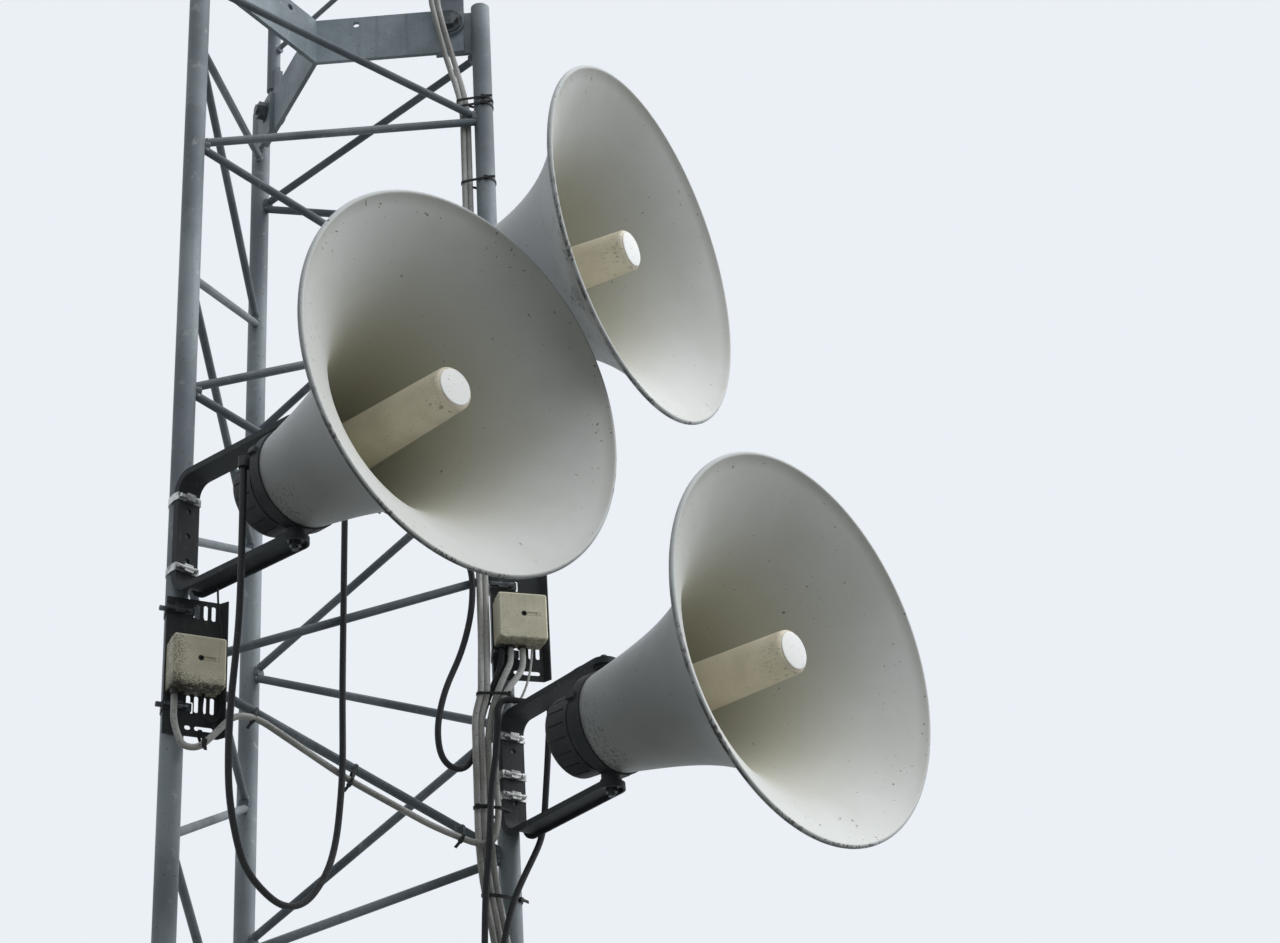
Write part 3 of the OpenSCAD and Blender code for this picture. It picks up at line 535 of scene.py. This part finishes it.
def box_finish(plate):
    """A box's beige plastic with its dirt, a line of grime and painted shade at its foot, its keyhole
    painted as shade, and the dark glands under it
    """
    made = Finish("box_beige_%d" % (plate + 1))
    leg, facing, low, rise = PLATES[plate]
    away = made.away_from(LEG_AT[leg] + turned(-BOX_CORNER, -BOX_CORNER, facing + 90, low + rise))
    sideways = made.along(turned(1, 0, facing + 90), away)
    upright = made.along((0, 0, 1), away)
    clouds = made.noise(24, 5)
    speckle = made.noise(620, 3, 0.7)
    left = 1 - sideways.between(0.0, 0.034)
    foot = 1 - upright.between(0.0, 0.024)
    gather = left * 0.13 + foot * 0.15 if plate == 0 else left * 0.03 + foot * 0.03
    grime = (speckle + gather).between(0.62, 0.68)
    # A near-black line along the box's foot: partly grime, partly painted shade at the lower corner
    foot_grime_and_shade = (1 - upright.between(0.002, 0.007)) * made.noise(120, 3).between(0.40, 0.55)
    runs = made.noise(1, 3, vector=made.stretched(260, 260, 14)).between(0.58, 0.72)
    shade = made.mixed(clouds.between(0.35, 0.7), colour(228, 222, 199), colour(212, 206, 180))
    shade = made.mixed(runs * 0.2, shade, colour(140, 135, 114))
    shade = made.mixed(grime * 0.85, shade, colour(70, 66, 52))
    shade = made.mixed(foot_grime_and_shade * (0.9 if plate == 0 else 0.35), shade, colour(44, 42, 34))
    # The keyhole and its slot: painted shade, a dark disc for the hole and a thin dark outline for the
    # slot's groove
    over = upright - KEY_RISE
    past = sideways - KEY_RIGHT
    keyhole_shade = 1 - ((over * over + past * past) ** 0.5).between(KEY_RADIUS - 0.0004, KEY_RADIUS + 0.0004)
    half = (over * over) ** 0.5
    begun = past.between(-0.0002, 0.0002)
    outer = (1 - past.between(SLOT_LONG - 0.0002, SLOT_LONG + 0.0002)) \
        * (1 - half.between(SLOT_HALF - 0.0001, SLOT_HALF + 0.0001))
    inner = (1 - past.between(SLOT_LONG - SLOT_LINE - 0.0002, SLOT_LONG - SLOT_LINE + 0.0002)) \
        * (1 - half.between(SLOT_HALF - 0.0008, SLOT_HALF - 0.0005))
    shade = made.mixed(begun * (outer - inner) * 0.75, shade, colour(70, 66, 56))
    shade = made.mixed(keyhole_shade, shade, colour(26, 25, 23))
    gland = 1 - upright.between(-0.0011, -0.0009)
    shade = made.mixed(gland, shade, colour(40, 40, 38))
    return made.finish(shade, 0.50 + clouds * 0.2, speckle, 0.0004, 0.2)


for plate in (0, 1):
    paint_node("junction_box_%d" % (plate + 1), box_finish(plate))


# The pipe stub that takes the cables at the base: galvanised like the mast, but duller and less blue,
# with the same stains and specks of rust.
stub_zinc = galvanised("stub_zinc", colour(136, 141, 143), colour(104, 108, 110), colour(168, 171, 172),
                       RUST)
paint_node("conduit_stub", stub_zinc)


# The cables. Two grey ones come down from the upper section, one leads down from the second box, one
# joins the two boxes, and black cords lead from the first and third horn. All are round, with a
# plain sheath, and lie on the routes of their solids.
MAST_TOP = 4.4
BAR_OUT = 0.0135
CABLE_WIDE = 0.010
CORD_WIDE = 0.010
CABLE_PITCH = 10.5
# A driver's cord gland, from the driver's middle: how far to its side, the level at which a cord leaves
# it, and for horn 3 the level of the cords' first bend
GLAND_SIDE = 0.075
GLAND_FACE = 0.0078
GLAND_TURN = 0.0482
# A box's glands: how far before the leg's axis they open, and how far under the box
BOX_GLAND_OUT = 0.033
BOX_GLAND_LOW = 0.006
# The pipe stub, from leg C in millimetres: its middle, the pitch of the cables in it, the height where they
# end in it, the straight stretch over that, and the height at which they leave the leg for it
STUB_X = -72
STUB_Y = -46
STUB_PITCH = 12
STUB_END = 130
STUB_STRAIGHT = 140
LEAVES_LEG = 560
# The upper section: the side between its legs, how far beside the star's arms they stand, how far before
# a leg's axis a cable comes out, and the heights over the mast where the two come out
UPPER_SIDE = 452
UPPER_ASIDE = 8.2
UPPER_OUT = 12.7
UPPER_EXITS = (0.660, 0.730)
# A corner's rounding takes at most this share of the stretches beside it
CORNER_SHARE = 0.48
# A route is eased in steps of this length, this many times
EASE_STEP = 0.006
EASE_ROUNDS = 8


def on_horn(horn, x, y, z):
    return pivot(horn) + turned(x, y, HORNS[horn][3], z)


# Places for the routes, in millimetres as on a drawing: beside leg C, on horn 3's bracket, off
# horn 1's pivot, and before the front face
def beside_c(x, y, z):
    return LEG_AT[2] + Vector((x, y, z)) / 1000


def on_bracket(u, v, z):
    return LEG_AT[2] + turned(u / 1000, v / 1000, HORNS[2][1], HORNS[2][2] + z / 1000)


def off_horn(x, y, z):
    return pivot(0) + Vector((x, y, z)) / 1000


def before_face(t, out, z):
    return Vector((LEG_AT[0].x + t * LEG_SIDE, LEG_AT[0].y - out, z))


def on_bar(a, c, t, drop):
    return before_face(t, BAR_OUT, (1 - t) * FRONT_JOINTS[a] + t * FRONT_JOINTS[c] - drop / 1000)


def box_gland(plate, x):
    leg, facing, low, rise = PLATES[plate]
    return LEG_AT[leg] + turned(x / 1000, -BOX_GLAND_OUT, facing + 90, low + rise - BOX_GLAND_LOW)


def below(point, drop):
    return point - Vector((0, 0, drop / 1000))


def into_stub(x, y, place):
    """Straight down beside leg C and into one of the stub's six places, three in a row"""
    row = place // 3 - 0.5
    entry = beside_c(STUB_X + STUB_PITCH * (place % 3 - 1), STUB_Y + STUB_PITCH * row, STUB_END)
    return [beside_c(x, y, 2600), beside_c(x, y, LEAVES_LEG), below(entry, -STUB_STRAIGHT), entry]


def rounded_route(points, cut, steps):
    """The route with each corner rounded, as the solid cables have it"""
    points = [Vector(p) for p in points]
    route = [points[0]]
    for before, corner, after in zip(points, points[1:], points[2:]):
        back = before - corner
        onward = after - corner
        reach = min(cut / 1000, back.length * CORNER_SHARE, onward.length * CORNER_SHARE)
        first = corner + back.normalized() * reach
        last = corner + onward.normalized() * reach
        for k in range(steps + 1):
            t = k / steps
            route.append((1 - t) ** 2 * first + 2 * t * (1 - t) * corner + t * t * last)
    return route + [points[-1]]


def route_length(route):
    return sum((b - a).length for a, b in zip(route, route[1:]))


def eased(route):
    """The same route in even steps, its bends opened a little, as a stiff cord opens them"""
    count = round(route_length(route) / EASE_STEP)
    points = []
    here = 0
    done = 0.0
    for k in range(count + 1):
        want = k * route_length(route) / count
        while here < len(route) - 2 and done + (route[here + 1] - route[here]).length < want:
            done += (route[here + 1] - route[here]).length
            here += 1
        gap = (route[here + 1] - route[here]).length
        points.append(route[here].lerp(route[here + 1], min((want - done) / gap, 1)))
    for _ in range(EASE_ROUNDS):
        points = (points[:2] + [(points[i - 1] + 2 * points[i] + points[i + 1]) / 4
                                for i in range(2, len(points) - 2)] + points[-2:])
    return points


def tube(name, route, diameter, sides=12):
    """A closed round tube along a route, its rings carried along without twist"""
    mesh = bmesh.new()
    side = None
    rings = []
    for k, point in enumerate(route):
        along = (route[min(k + 1, len(route) - 1)] - route[max(k - 1, 0)]).normalized()
        if side is None:
            side = along.orthogonal().normalized()
        side = (side - along * side.dot(along)).normalized()
        other = along.cross(side)
        rings.append([mesh.verts.new(point + diameter / 2 * (math.cos(a) * side + math.sin(a) * other))
                      for a in (2 * math.pi * j / sides for j in range(sides))])
    for low, high in zip(rings, rings[1:]):
        for j in range(sides):
            face = mesh.faces.new((low[j], low[(j + 1) % sides], high[(j + 1) % sides], high[j]))
            face.smooth = True
    mesh.faces.new(reversed(rings[0]))
    mesh.faces.new(rings[-1])
    data = bpy.data.meshes.new(name)
    mesh.to_mesh(data)
    mesh.free()
    piece = bpy.data.objects.new(name, data)
    bpy.context.scene.collection.objects.link(piece)
    return piece


def upper_route(k):
    """From a leg of the upper section, behind the star bracket and down the back of leg C to the stub"""
    side = CABLE_PITCH * k
    high = 1000 * MAST_TOP
    circle = UPPER_SIDE / math.sqrt(3)
    leg = turned(circle / 1000, 0, 330 - math.degrees(math.asin(UPPER_ASIDE / circle)))
    out = Vector((leg.x, leg.y - UPPER_OUT / 1000, MAST_TOP + UPPER_EXITS[k]))
    return rounded_route(
        [out, out + Vector((0, -0.046, 0)), beside_c(-60 - side, 2, 1000 * out.z - 110),
         beside_c(-60 - side, 2, high + 120), beside_c(-82 - 1.2 * side, 2, high + 20),
         beside_c(-84 - 1.2 * side, 2, high - 10), beside_c(-74 - 1.2 * side, 2, high - 60),
         beside_c(-50 - 1.4 * side, 11, high - 130), beside_c(-24 - side, 14, high - 220),
         beside_c(-24 - side, 14, 3450), beside_c(-31.5 - side, -14, 3340),
         beside_c(-31.5 - side, -14, 3110), beside_c(-37.5 - side, -23, 3055),
         beside_c(-38 - side, -23, 3022), beside_c(-47.5 - side, -18, 2985),
         beside_c(-47.5 - side, -18, 2750)] + into_stub(-22.8 - side, -23, 4 - k), 60, 4)


feed_gland = box_gland(1, 5)
feed_route = rounded_route(
    [feed_gland, below(feed_gland, 24), beside_c(-14, -34, 3050), beside_c(-26, -24, 3015),
     beside_c(-36.7, -18, 2965), beside_c(-36.7, -18, 2750)] + into_stub(-12, -23, 5), 60, 4)
first_gland = box_gland(0, -8)
last_gland = box_gland(1, 24)
link_route = rounded_route(
    [first_gland, below(first_gland, 45), first_gland + Vector((0.013, -0.004, -0.080)),
     first_gland + Vector((0.037, -0.004, -0.080)), first_gland + Vector((0.060, -0.006, -0.056)),
     first_gland + Vector((0.086, -0.005, -0.024)), on_bar(13, 12, 0.23, 14), on_bar(13, 12, 0.5, 30),
     on_bar(13, 12, 0.76, 28), beside_c(-70, -27, 2777), beside_c(-50, -30, 2775),
     beside_c(-36, -31, 2786), beside_c(-25.7, -25, 2830), beside_c(-25.7, -18, 2875),
     beside_c(-25.7, -18, 2940), beside_c(-22, -34, 3010), below(last_gland, 34), last_gland], 34, 5)
first_exit = on_horn(0, -0.024, -GLAND_SIDE, GLAND_FACE)
first_end = on_horn(0, -0.024, -GLAND_SIDE, -0.1182)
loop_gland = box_gland(1, -9)
loop_route = eased([first_exit] + rounded_route(
    [first_end, below(first_end, 50), off_horn(-75, 15, -233), off_horn(-77, 34, -330),
     off_horn(-76, 45, -383), off_horn(-66, 72, -466), off_horn(-32, 107, -546), off_horn(8, 130, -573),
     off_horn(44, 150, -585), off_horn(82, 166, -568), off_horn(118, 182, -515),
     before_face(0.454, 0.035, 2.758), before_face(0.477, 0.026, 2.862), before_face(0.484, BAR_OUT, 2.995),
     before_face(0.492, BAR_OUT, FRONT_JOINTS[15] - 0.130), on_bar(15, 14, 0.56, 2),
     on_bar(15, 14, 0.898, 0), beside_c(-53.5, -13.5, 3170), beside_c(-76, -13.5, 3086),
     beside_c(-106, -13.5, 3023), beside_c(-120, -13.5, 2956), beside_c(-114, -13.5, 2908),
     beside_c(-90, -13.5, 2890), beside_c(-62, -8, 2906), beside_c(-48, -5, 2955),
     beside_c(-37.5, -8, 3005), beside_c(-26, -18, 3038), below(loop_gland, 30), loop_gland], 45, 4))
arm_exit = on_horn(2, -0.026, GLAND_SIDE, -GLAND_FACE)
arm_end = on_horn(2, -0.026, GLAND_SIDE, GLAND_TURN)
arm_route = eased([arm_exit] + rounded_route(
    [arm_end, below(arm_end, -30), on_bracket(212, 50, 122), on_bracket(196, 8, 122),
     on_bracket(165, -8, 99.3), on_bracket(75, -8, 99.3), on_bracket(46, -10, 115), on_bracket(36, -38, 118),
     beside_c(-30, -37, 2932), beside_c(-44, -37, 2857), beside_c(-50, -44.5, 2785),
     beside_c(-56, -34, 2700)] + into_stub(-57, -26, 0), 36, 4))
drop_exit = on_horn(2, -0.050, GLAND_SIDE, -GLAND_FACE)
drop_end = on_horn(2, -0.050, GLAND_SIDE, GLAND_TURN)
drop_route = eased([drop_exit] + rounded_route(
    [drop_end, below(drop_end, -30), on_bracket(190, 45, 122), on_bracket(170, 12, 118),
     on_bracket(140, 8, 99.3), on_bracket(106, 8, 99.3), on_bracket(84, 20, 114), on_bracket(76, 34, 112),
     on_bracket(74, 29, 60), on_bracket(70, 28, 20), on_bracket(56, 29, -56), on_bracket(47, 30, -100),
     beside_c(6.5, -39, 2731), beside_c(-14.5, -39, 2688)] + into_stub(-37, -38, 1), 32, 4))


def sheath(name, clean, dull, dirt):
    """A cable's sheath: slightly uneven, dulled in patches, with dark specks of dirt"""
    made = Finish(name, gloss=0.3)
    patches = made.noise(9, 4)
    specks = made.noise(260, 2).between(0.60, 0.70)
    shade = made.mixed(patches.between(0.35, 0.65), clean, dull)
    shade = made.mixed(specks * 0.6, shade, dirt)
    return made.finish(shade, 0.42 + patches * 0.3, made.noise(500, 2), 0.0004, 0.25)


cable_grey = sheath("grey_sheath", colour(200, 200, 197), colour(164, 164, 160), colour(84, 83, 78))
cord_black = sheath("black_sheath", colour(30, 32, 35), colour(44, 46, 49), colour(76, 77, 74))
for name, route, solid in (("upper_cable_1", upper_route(0), "upper_cables"),
                           ("upper_cable_2", upper_route(1), "upper_cables"),
                           ("feed_cable_run", feed_route, "feed_cable"),
                           ("link_cable_run", link_route, "link_cable")):
    cable = tube(name, route, CABLE_WIDE)
    cable.data.materials.append(cable_grey)
    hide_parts(solid)
    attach(cable, "tower")
# Each cord: its name, route and horn, two places along it where its motion would fade from its horn's to
# the tower's, and the solids it stands for. The horn and the two places are not used.
LOOP_NEAR = (-0.235, -0.360, 3)
LOOP_FAR = (-0.060, -0.215, 3)
for name, route, body, near, far, solids in (
        ("hanging_cord", loop_route, "horn_1", LOOP_NEAR, LOOP_FAR, ("horn_cord_1", "loop_cord_1")),
        ("arm_cord", arm_route, "horn_3", on_bracket(217, 69, 0), on_bracket(185, 0, 0),
         ("horn_cord_3", "loop_cord_3")),
        ("drop_cord", drop_route, "horn_3", on_bracket(193, 65, 0), on_bracket(165, 8, 0),
         ("horn_cord_3", "loop_cord_3"))):
    cord = tube(name, route, CORD_WIDE)
    cord.data.materials.append(cord_black)
    round(route_length(route), 3)
    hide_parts(*solids)
    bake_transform(cord)


# Cable ties: black nylon straps pulled tight round a leg or bar and the cables on it, each with its
# square head and a cut tail.
TIE_WIDE = 0.0046
TIE_THICK = 0.0012
TIE_SLACK = 0.0003
# The head and the cut tail: their sizes, how far out of the strap's line the head sits, the tail's place
# from the head outwards and along, and how their edges are rounded
TIE_HEAD = (0.0040, 0.0066, 0.0070)
TIE_TAIL = (0.0011, 0.0150, TIE_WIDE)
HEAD_OUT = 0.0022
TAIL_OUT = 0.001
TAIL_ALONG = 0.0095
HEAD_ROUND = 0.0006
BAR_RADIUS = 0.007
UP = Vector((0, 0, 1))
tie_black = sheath("nylon_black", colour(16, 17, 18), colour(24, 25, 27), colour(44, 44, 43))


def wrapped(circles, sides=20):
    """The tight line round some circles, given by centre and radius in the strap's plane"""
    dots = sorted((x + r * math.cos(2 * math.pi * k / sides), y + r * math.sin(2 * math.pi * k / sides))
                  for x, y, r in circles for k in range(sides))
    line = []
    for run in (dots, dots[::-1]):
        part = []
        for p in run:
            while len(part) > 1 and ((part[-1][0] - part[-2][0]) * (p[1] - part[-2][1])
                                     - (part[-1][1] - part[-2][1]) * (p[0] - part[-2][0])) <= 1e-12:
                part.pop()
            part.append(p)
        line += part[:-1]
    return line


def cable_tie(name, centre, axis, items, head_side):
    """A strap about an axis, round items given as points with radii, its head towards head_side"""
    axis = axis.normalized()
    across = (head_side - axis * head_side.dot(axis)).normalized()
    other = axis.cross(across)
    circles = [((p - centre).dot(across), (p - centre).dot(other), r + TIE_SLACK) for p, r in items]
    line = wrapped(circles)
    ring = [centre + across * x + other * y - axis * TIE_WIDE / 2 for x, y in line]
    bpy.ops.object.select_all(action="DESELECT")
    bpy.ops.mesh.primitive_circle_add(vertices=len(ring))
    strap = bpy.context.active_object
    for vertex, place in zip(strap.data.vertices, ring):
        vertex.co = place
    bpy.ops.object.mode_set(mode="EDIT")
    bpy.ops.mesh.select_all(action="SELECT")
    bpy.ops.mesh.extrude_region_move(TRANSFORM_OT_translate={"value": tuple(axis * TIE_WIDE)})
    bpy.ops.mesh.select_all(action="SELECT")
    bpy.ops.mesh.normals_make_consistent(inside=False)
    bpy.ops.object.mode_set(mode="OBJECT")
    wall = strap.modifiers.new("wall", "SOLIDIFY")
    wall.thickness = TIE_THICK
    wall.offset = 1
    bpy.ops.object.modifier_apply(modifier="wall")
    far = max(range(len(line)), key=lambda k: line[k][0])
    spot = centre + across * (line[far][0] + HEAD_OUT) + other * line[far][1]
    turn = Matrix((across, other, axis)).transposed().to_4x4()
    parts = [strap]
    tail_shift = across * TAIL_OUT + other * TAIL_ALONG
    for size, shift in ((TIE_HEAD, Vector((0, 0, 0))), (TIE_TAIL, tail_shift)):
        bpy.ops.mesh.primitive_cube_add(size=1)
        block = bpy.context.active_object
        block.matrix_world = Matrix.Translation(spot + shift) @ turn @ Matrix.Diagonal((*size, 1))
        soft = block.modifiers.new("edges", "BEVEL")
        soft.width = HEAD_ROUND
        soft.segments = 2
        bpy.ops.object.modifier_apply(modifier="edges")
        parts.append(block)
    for part in parts:
        part.select_set(True)
    bpy.context.view_layer.objects.active = strap
    bpy.ops.object.join()
    piece_from(name, tie_black, "tower")


def passing(route, way, near):
    """Where a route passes the x or z of a place, at the crossing nearest to that place"""
    value = near[way]
    met = [a.lerp(b, (value - a[way]) / (b[way] - a[way])) for a, b in zip(route, route[1:])
           if min(a[way], b[way]) <= value <= max(a[way], b[way]) and a[way] != b[way]]
    return min(met, key=lambda place: (place - near).length)


half_cable = CABLE_WIDE / 2
BACK_RUNS = [upper_route(0), upper_route(1)]
LOW_RUNS = BACK_RUNS + [feed_route, arm_route, drop_route]
# Each tie on leg C: its height, the cables in it and the side its head is on
LEG_TIES = [(z, BACK_RUNS, (-0.5, -1, 0)) for z in (4.185, 4.172, 4.008, 3.720, 3.500)]
LEG_TIES += [(3.020, BACK_RUNS + [feed_route, link_route, loop_route], (1, -1, 0)),
             (2.836, BACK_RUNS + [feed_route, link_route], (-0.4, -1, 0)),
             (2.700, BACK_RUNS + [feed_route], (0.6, -1, 0))]
LEG_TIES += [(z, LOW_RUNS, (0.6, -1, 0)) for z in (2.560, 2.120, 1.680, 1.240, 0.800)]
for k, (z, runs, head_side) in enumerate(LEG_TIES):
    leg = LEG_AT[2] + Vector((0, 0, z))
    items = [(passing(run, 2, leg), half_cable) for run in runs] + [(leg, LEG_RADIUS)]
    cable_tie("leg_tie_%d" % (k + 1), leg, UP, items, Vector(head_side))
# Each tie on a front bar: the bar's joints, the share of the way from leg A to leg C, and the cable
BAR_TIES = [(13, 12, 0.235, link_route), (13, 12, 0.53, link_route), (13, 12, 0.852, link_route),
            (15, 14, 0.62, loop_route), (15, 14, 0.80, loop_route)]
for k, (first, second, t, route) in enumerate(BAR_TIES):
    bar = before_face(t, 0, (1 - t) * FRONT_JOINTS[first] + t * FRONT_JOINTS[second])
    bar_line = before_face(1, 0, FRONT_JOINTS[second]) - before_face(0, 0, FRONT_JOINTS[first])
    items = [(bar, BAR_RADIUS), (passing(route, 0, bar), half_cable)]
    cable_tie("bar_tie_%d" % (k + 1), bar, bar_line, items, Vector((0, -0.3, -1)))
# One more holds the link cable to the lower edge of plate 1, taken as a thin round bar
EDGE_AT = Vector((LEG_AT[0].x + 0.035, -0.1706, 2.899))
EDGE_RADIUS = 0.004
dip = passing(link_route, 0, EDGE_AT)
items = [(dip, half_cable), (EDGE_AT, EDGE_RADIUS)]
cable_tie("plate_tie", dip, Vector((1, 0, 0)), items, Vector((0, -1, 0.3)))


# Thin wires: a black one that hangs from the first bracket's arm, runs down beside the first box and
# loops up into it, and a grey one from the second box back to its leg.
BLACK_WIDE = 0.0034
GREY_WIDE = 0.0040
BLACK_WIRE = [(-0.2230, -0.2230, 3.1125), (-0.2180, -0.2100, 3.0960), (-0.2115, -0.1950, 3.0790),
              (-0.2030, -0.1820, 3.0580), (-0.2012, -0.1768, 3.0300), (-0.2012, -0.1757, 2.9640),
              (-0.1975, -0.1765, 2.9450), (-0.1995, -0.1770, 2.9230), (-0.2140, -0.1780, 2.9130),
              (-0.2275, -0.1780, 2.9250), (-0.2265, -0.1780, 2.9460), (-0.2250, -0.1785, 2.9580)]
GREY_WIRE = [(0.2990, -0.1860, 3.1090), (0.2965, -0.1860, 3.0860), (0.2925, -0.1860, 3.0600),
             (0.2850, -0.1840, 3.0340), (0.2740, -0.1765, 3.0090), (0.2690, -0.1690, 2.9990)]
for name, route, diameter, finish, slot_name in (
        ("thin_black_wire", BLACK_WIRE, BLACK_WIDE, tie_black, "cord_black"),
        ("thin_grey_wire", GREY_WIRE, GREY_WIDE, cable_grey, "cable_grey")):
    wire = tube(name, rounded_route(route, 30, 5), diameter, 8)
    wire.data.materials.append(finish)
    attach(wire, "tower")


# The floor: plain and pale where it is seen, with the tower's soft shadow, and dark to the light that
# it sends back up, as open ground is.
FLOOR_SIDE = 14
FLOOR_DARK = colour(78, 78, 72)
FLOOR_SEEN = colour(168, 170, 172)


def seen_rays(tree):
    """1 for the rays that see a thing, straight or by a reflection or through glass, 0 for the rest"""
    kinds = add_node(tree, "ShaderNodeLightPath").outputs
    total = Socket(tree, kinds["Is Camera Ray"])
    total = total + Socket(tree, kinds["Is Glossy Ray"])
    total = total + Socket(tree, kinds["Is Transmission Ray"])
    return total.between(0, 1)


bpy.ops.mesh.primitive_grid_add(x_subdivisions=4, y_subdivisions=4, size=FLOOR_SIDE)
floor = bpy.context.active_object
floor.name = "floor"
floor_finish = Finish("floor_pale")
shade = floor_finish.mixed(seen_rays(floor_finish.tree), FLOOR_DARK, FLOOR_SEEN)
floor.data.materials.append(floor_finish.finish(shade, 0.9))


# The sky and the light: an overcast sky that is brightest overhead and to the right, over dull ground,
# and a wide soft sun behind the clouds. Whoever looks at the sky sees it plain and pale.
SKY_SEEN = (0.832, 0.871, 0.921, 1)
SKY_HIGH = (1.68, 1.71, 1.75, 1)
SKY_LOW = (0.39, 0.41, 0.43, 1)
GROUND_GLOW = (0.08, 0.08, 0.07, 1)
# Where the ground's glow ends, the low sky lies and the high sky begins, from straight down 0 to up 1
GLOW_AT = 0.36
LOW_AT = 0.56
HIGH_AT = 0.95
RIGHT_HAND = (0.98, 0.2, 0)
RIGHT_BRIGHTER = 0.85
SUN_POWER = 1.6
SUN_SPREAD = 70
SUN_WAY = Vector((-0.80, 0.40, -1))

world = bpy.data.worlds.new("overcast")
bpy.context.scene.world = world
world.use_nodes = True
tree = world.node_tree
tree.nodes.clear()
direction = add_node(tree, "ShaderNodeTexCoord").outputs["Generated"]
split = add_node(tree, "ShaderNodeSeparateXYZ", Vector=direction)
shift = add_node(tree, "ShaderNodeMapRange", From_Min=-1, Value=split.outputs["Z"])
ramp = add_node(tree, "ShaderNodeValToRGB", Fac=shift.outputs[0])
stops = ramp.color_ramp.elements
stops[0].position = GLOW_AT
stops[0].color = GROUND_GLOW
stops[1].position = HIGH_AT
stops[1].color = SKY_HIGH
stops.new(LOW_AT).color = SKY_LOW
side = add_node(tree, "ShaderNodeVectorMath", {"operation": "DOT_PRODUCT"})
side.inputs[1].default_value = RIGHT_HAND
tree.links.new(direction, side.inputs[0])
brighter = Socket(tree, side.outputs["Value"]) * RIGHT_BRIGHTER + 1.0
lit = add_node(tree, "ShaderNodeBackground", Color=ramp.outputs[0], Strength=brighter)
seen = add_node(tree, "ShaderNodeBackground", Color=SKY_SEEN)
mixer = add_node(tree, "ShaderNodeMixShader", Fac=seen_rays(tree))
tree.links.new(lit.outputs[0], mixer.inputs[1])
tree.links.new(seen.outputs[0], mixer.inputs[2])
add_node(tree, "ShaderNodeOutputWorld", Surface=mixer.outputs[0])
bpy.context.scene.view_settings.view_transform = "Standard"

sun_data = bpy.data.lights.new("bright_cloud", "SUN")
sun_data.energy = SUN_POWER
sun_data.angle = math.radians(SUN_SPREAD)
sun = bpy.data.objects.new("bright_cloud", sun_data)
sun.rotation_euler = SUN_WAY.to_track_quat("-Z", "Y").to_euler()
bpy.context.scene.collection.objects.link(sun)
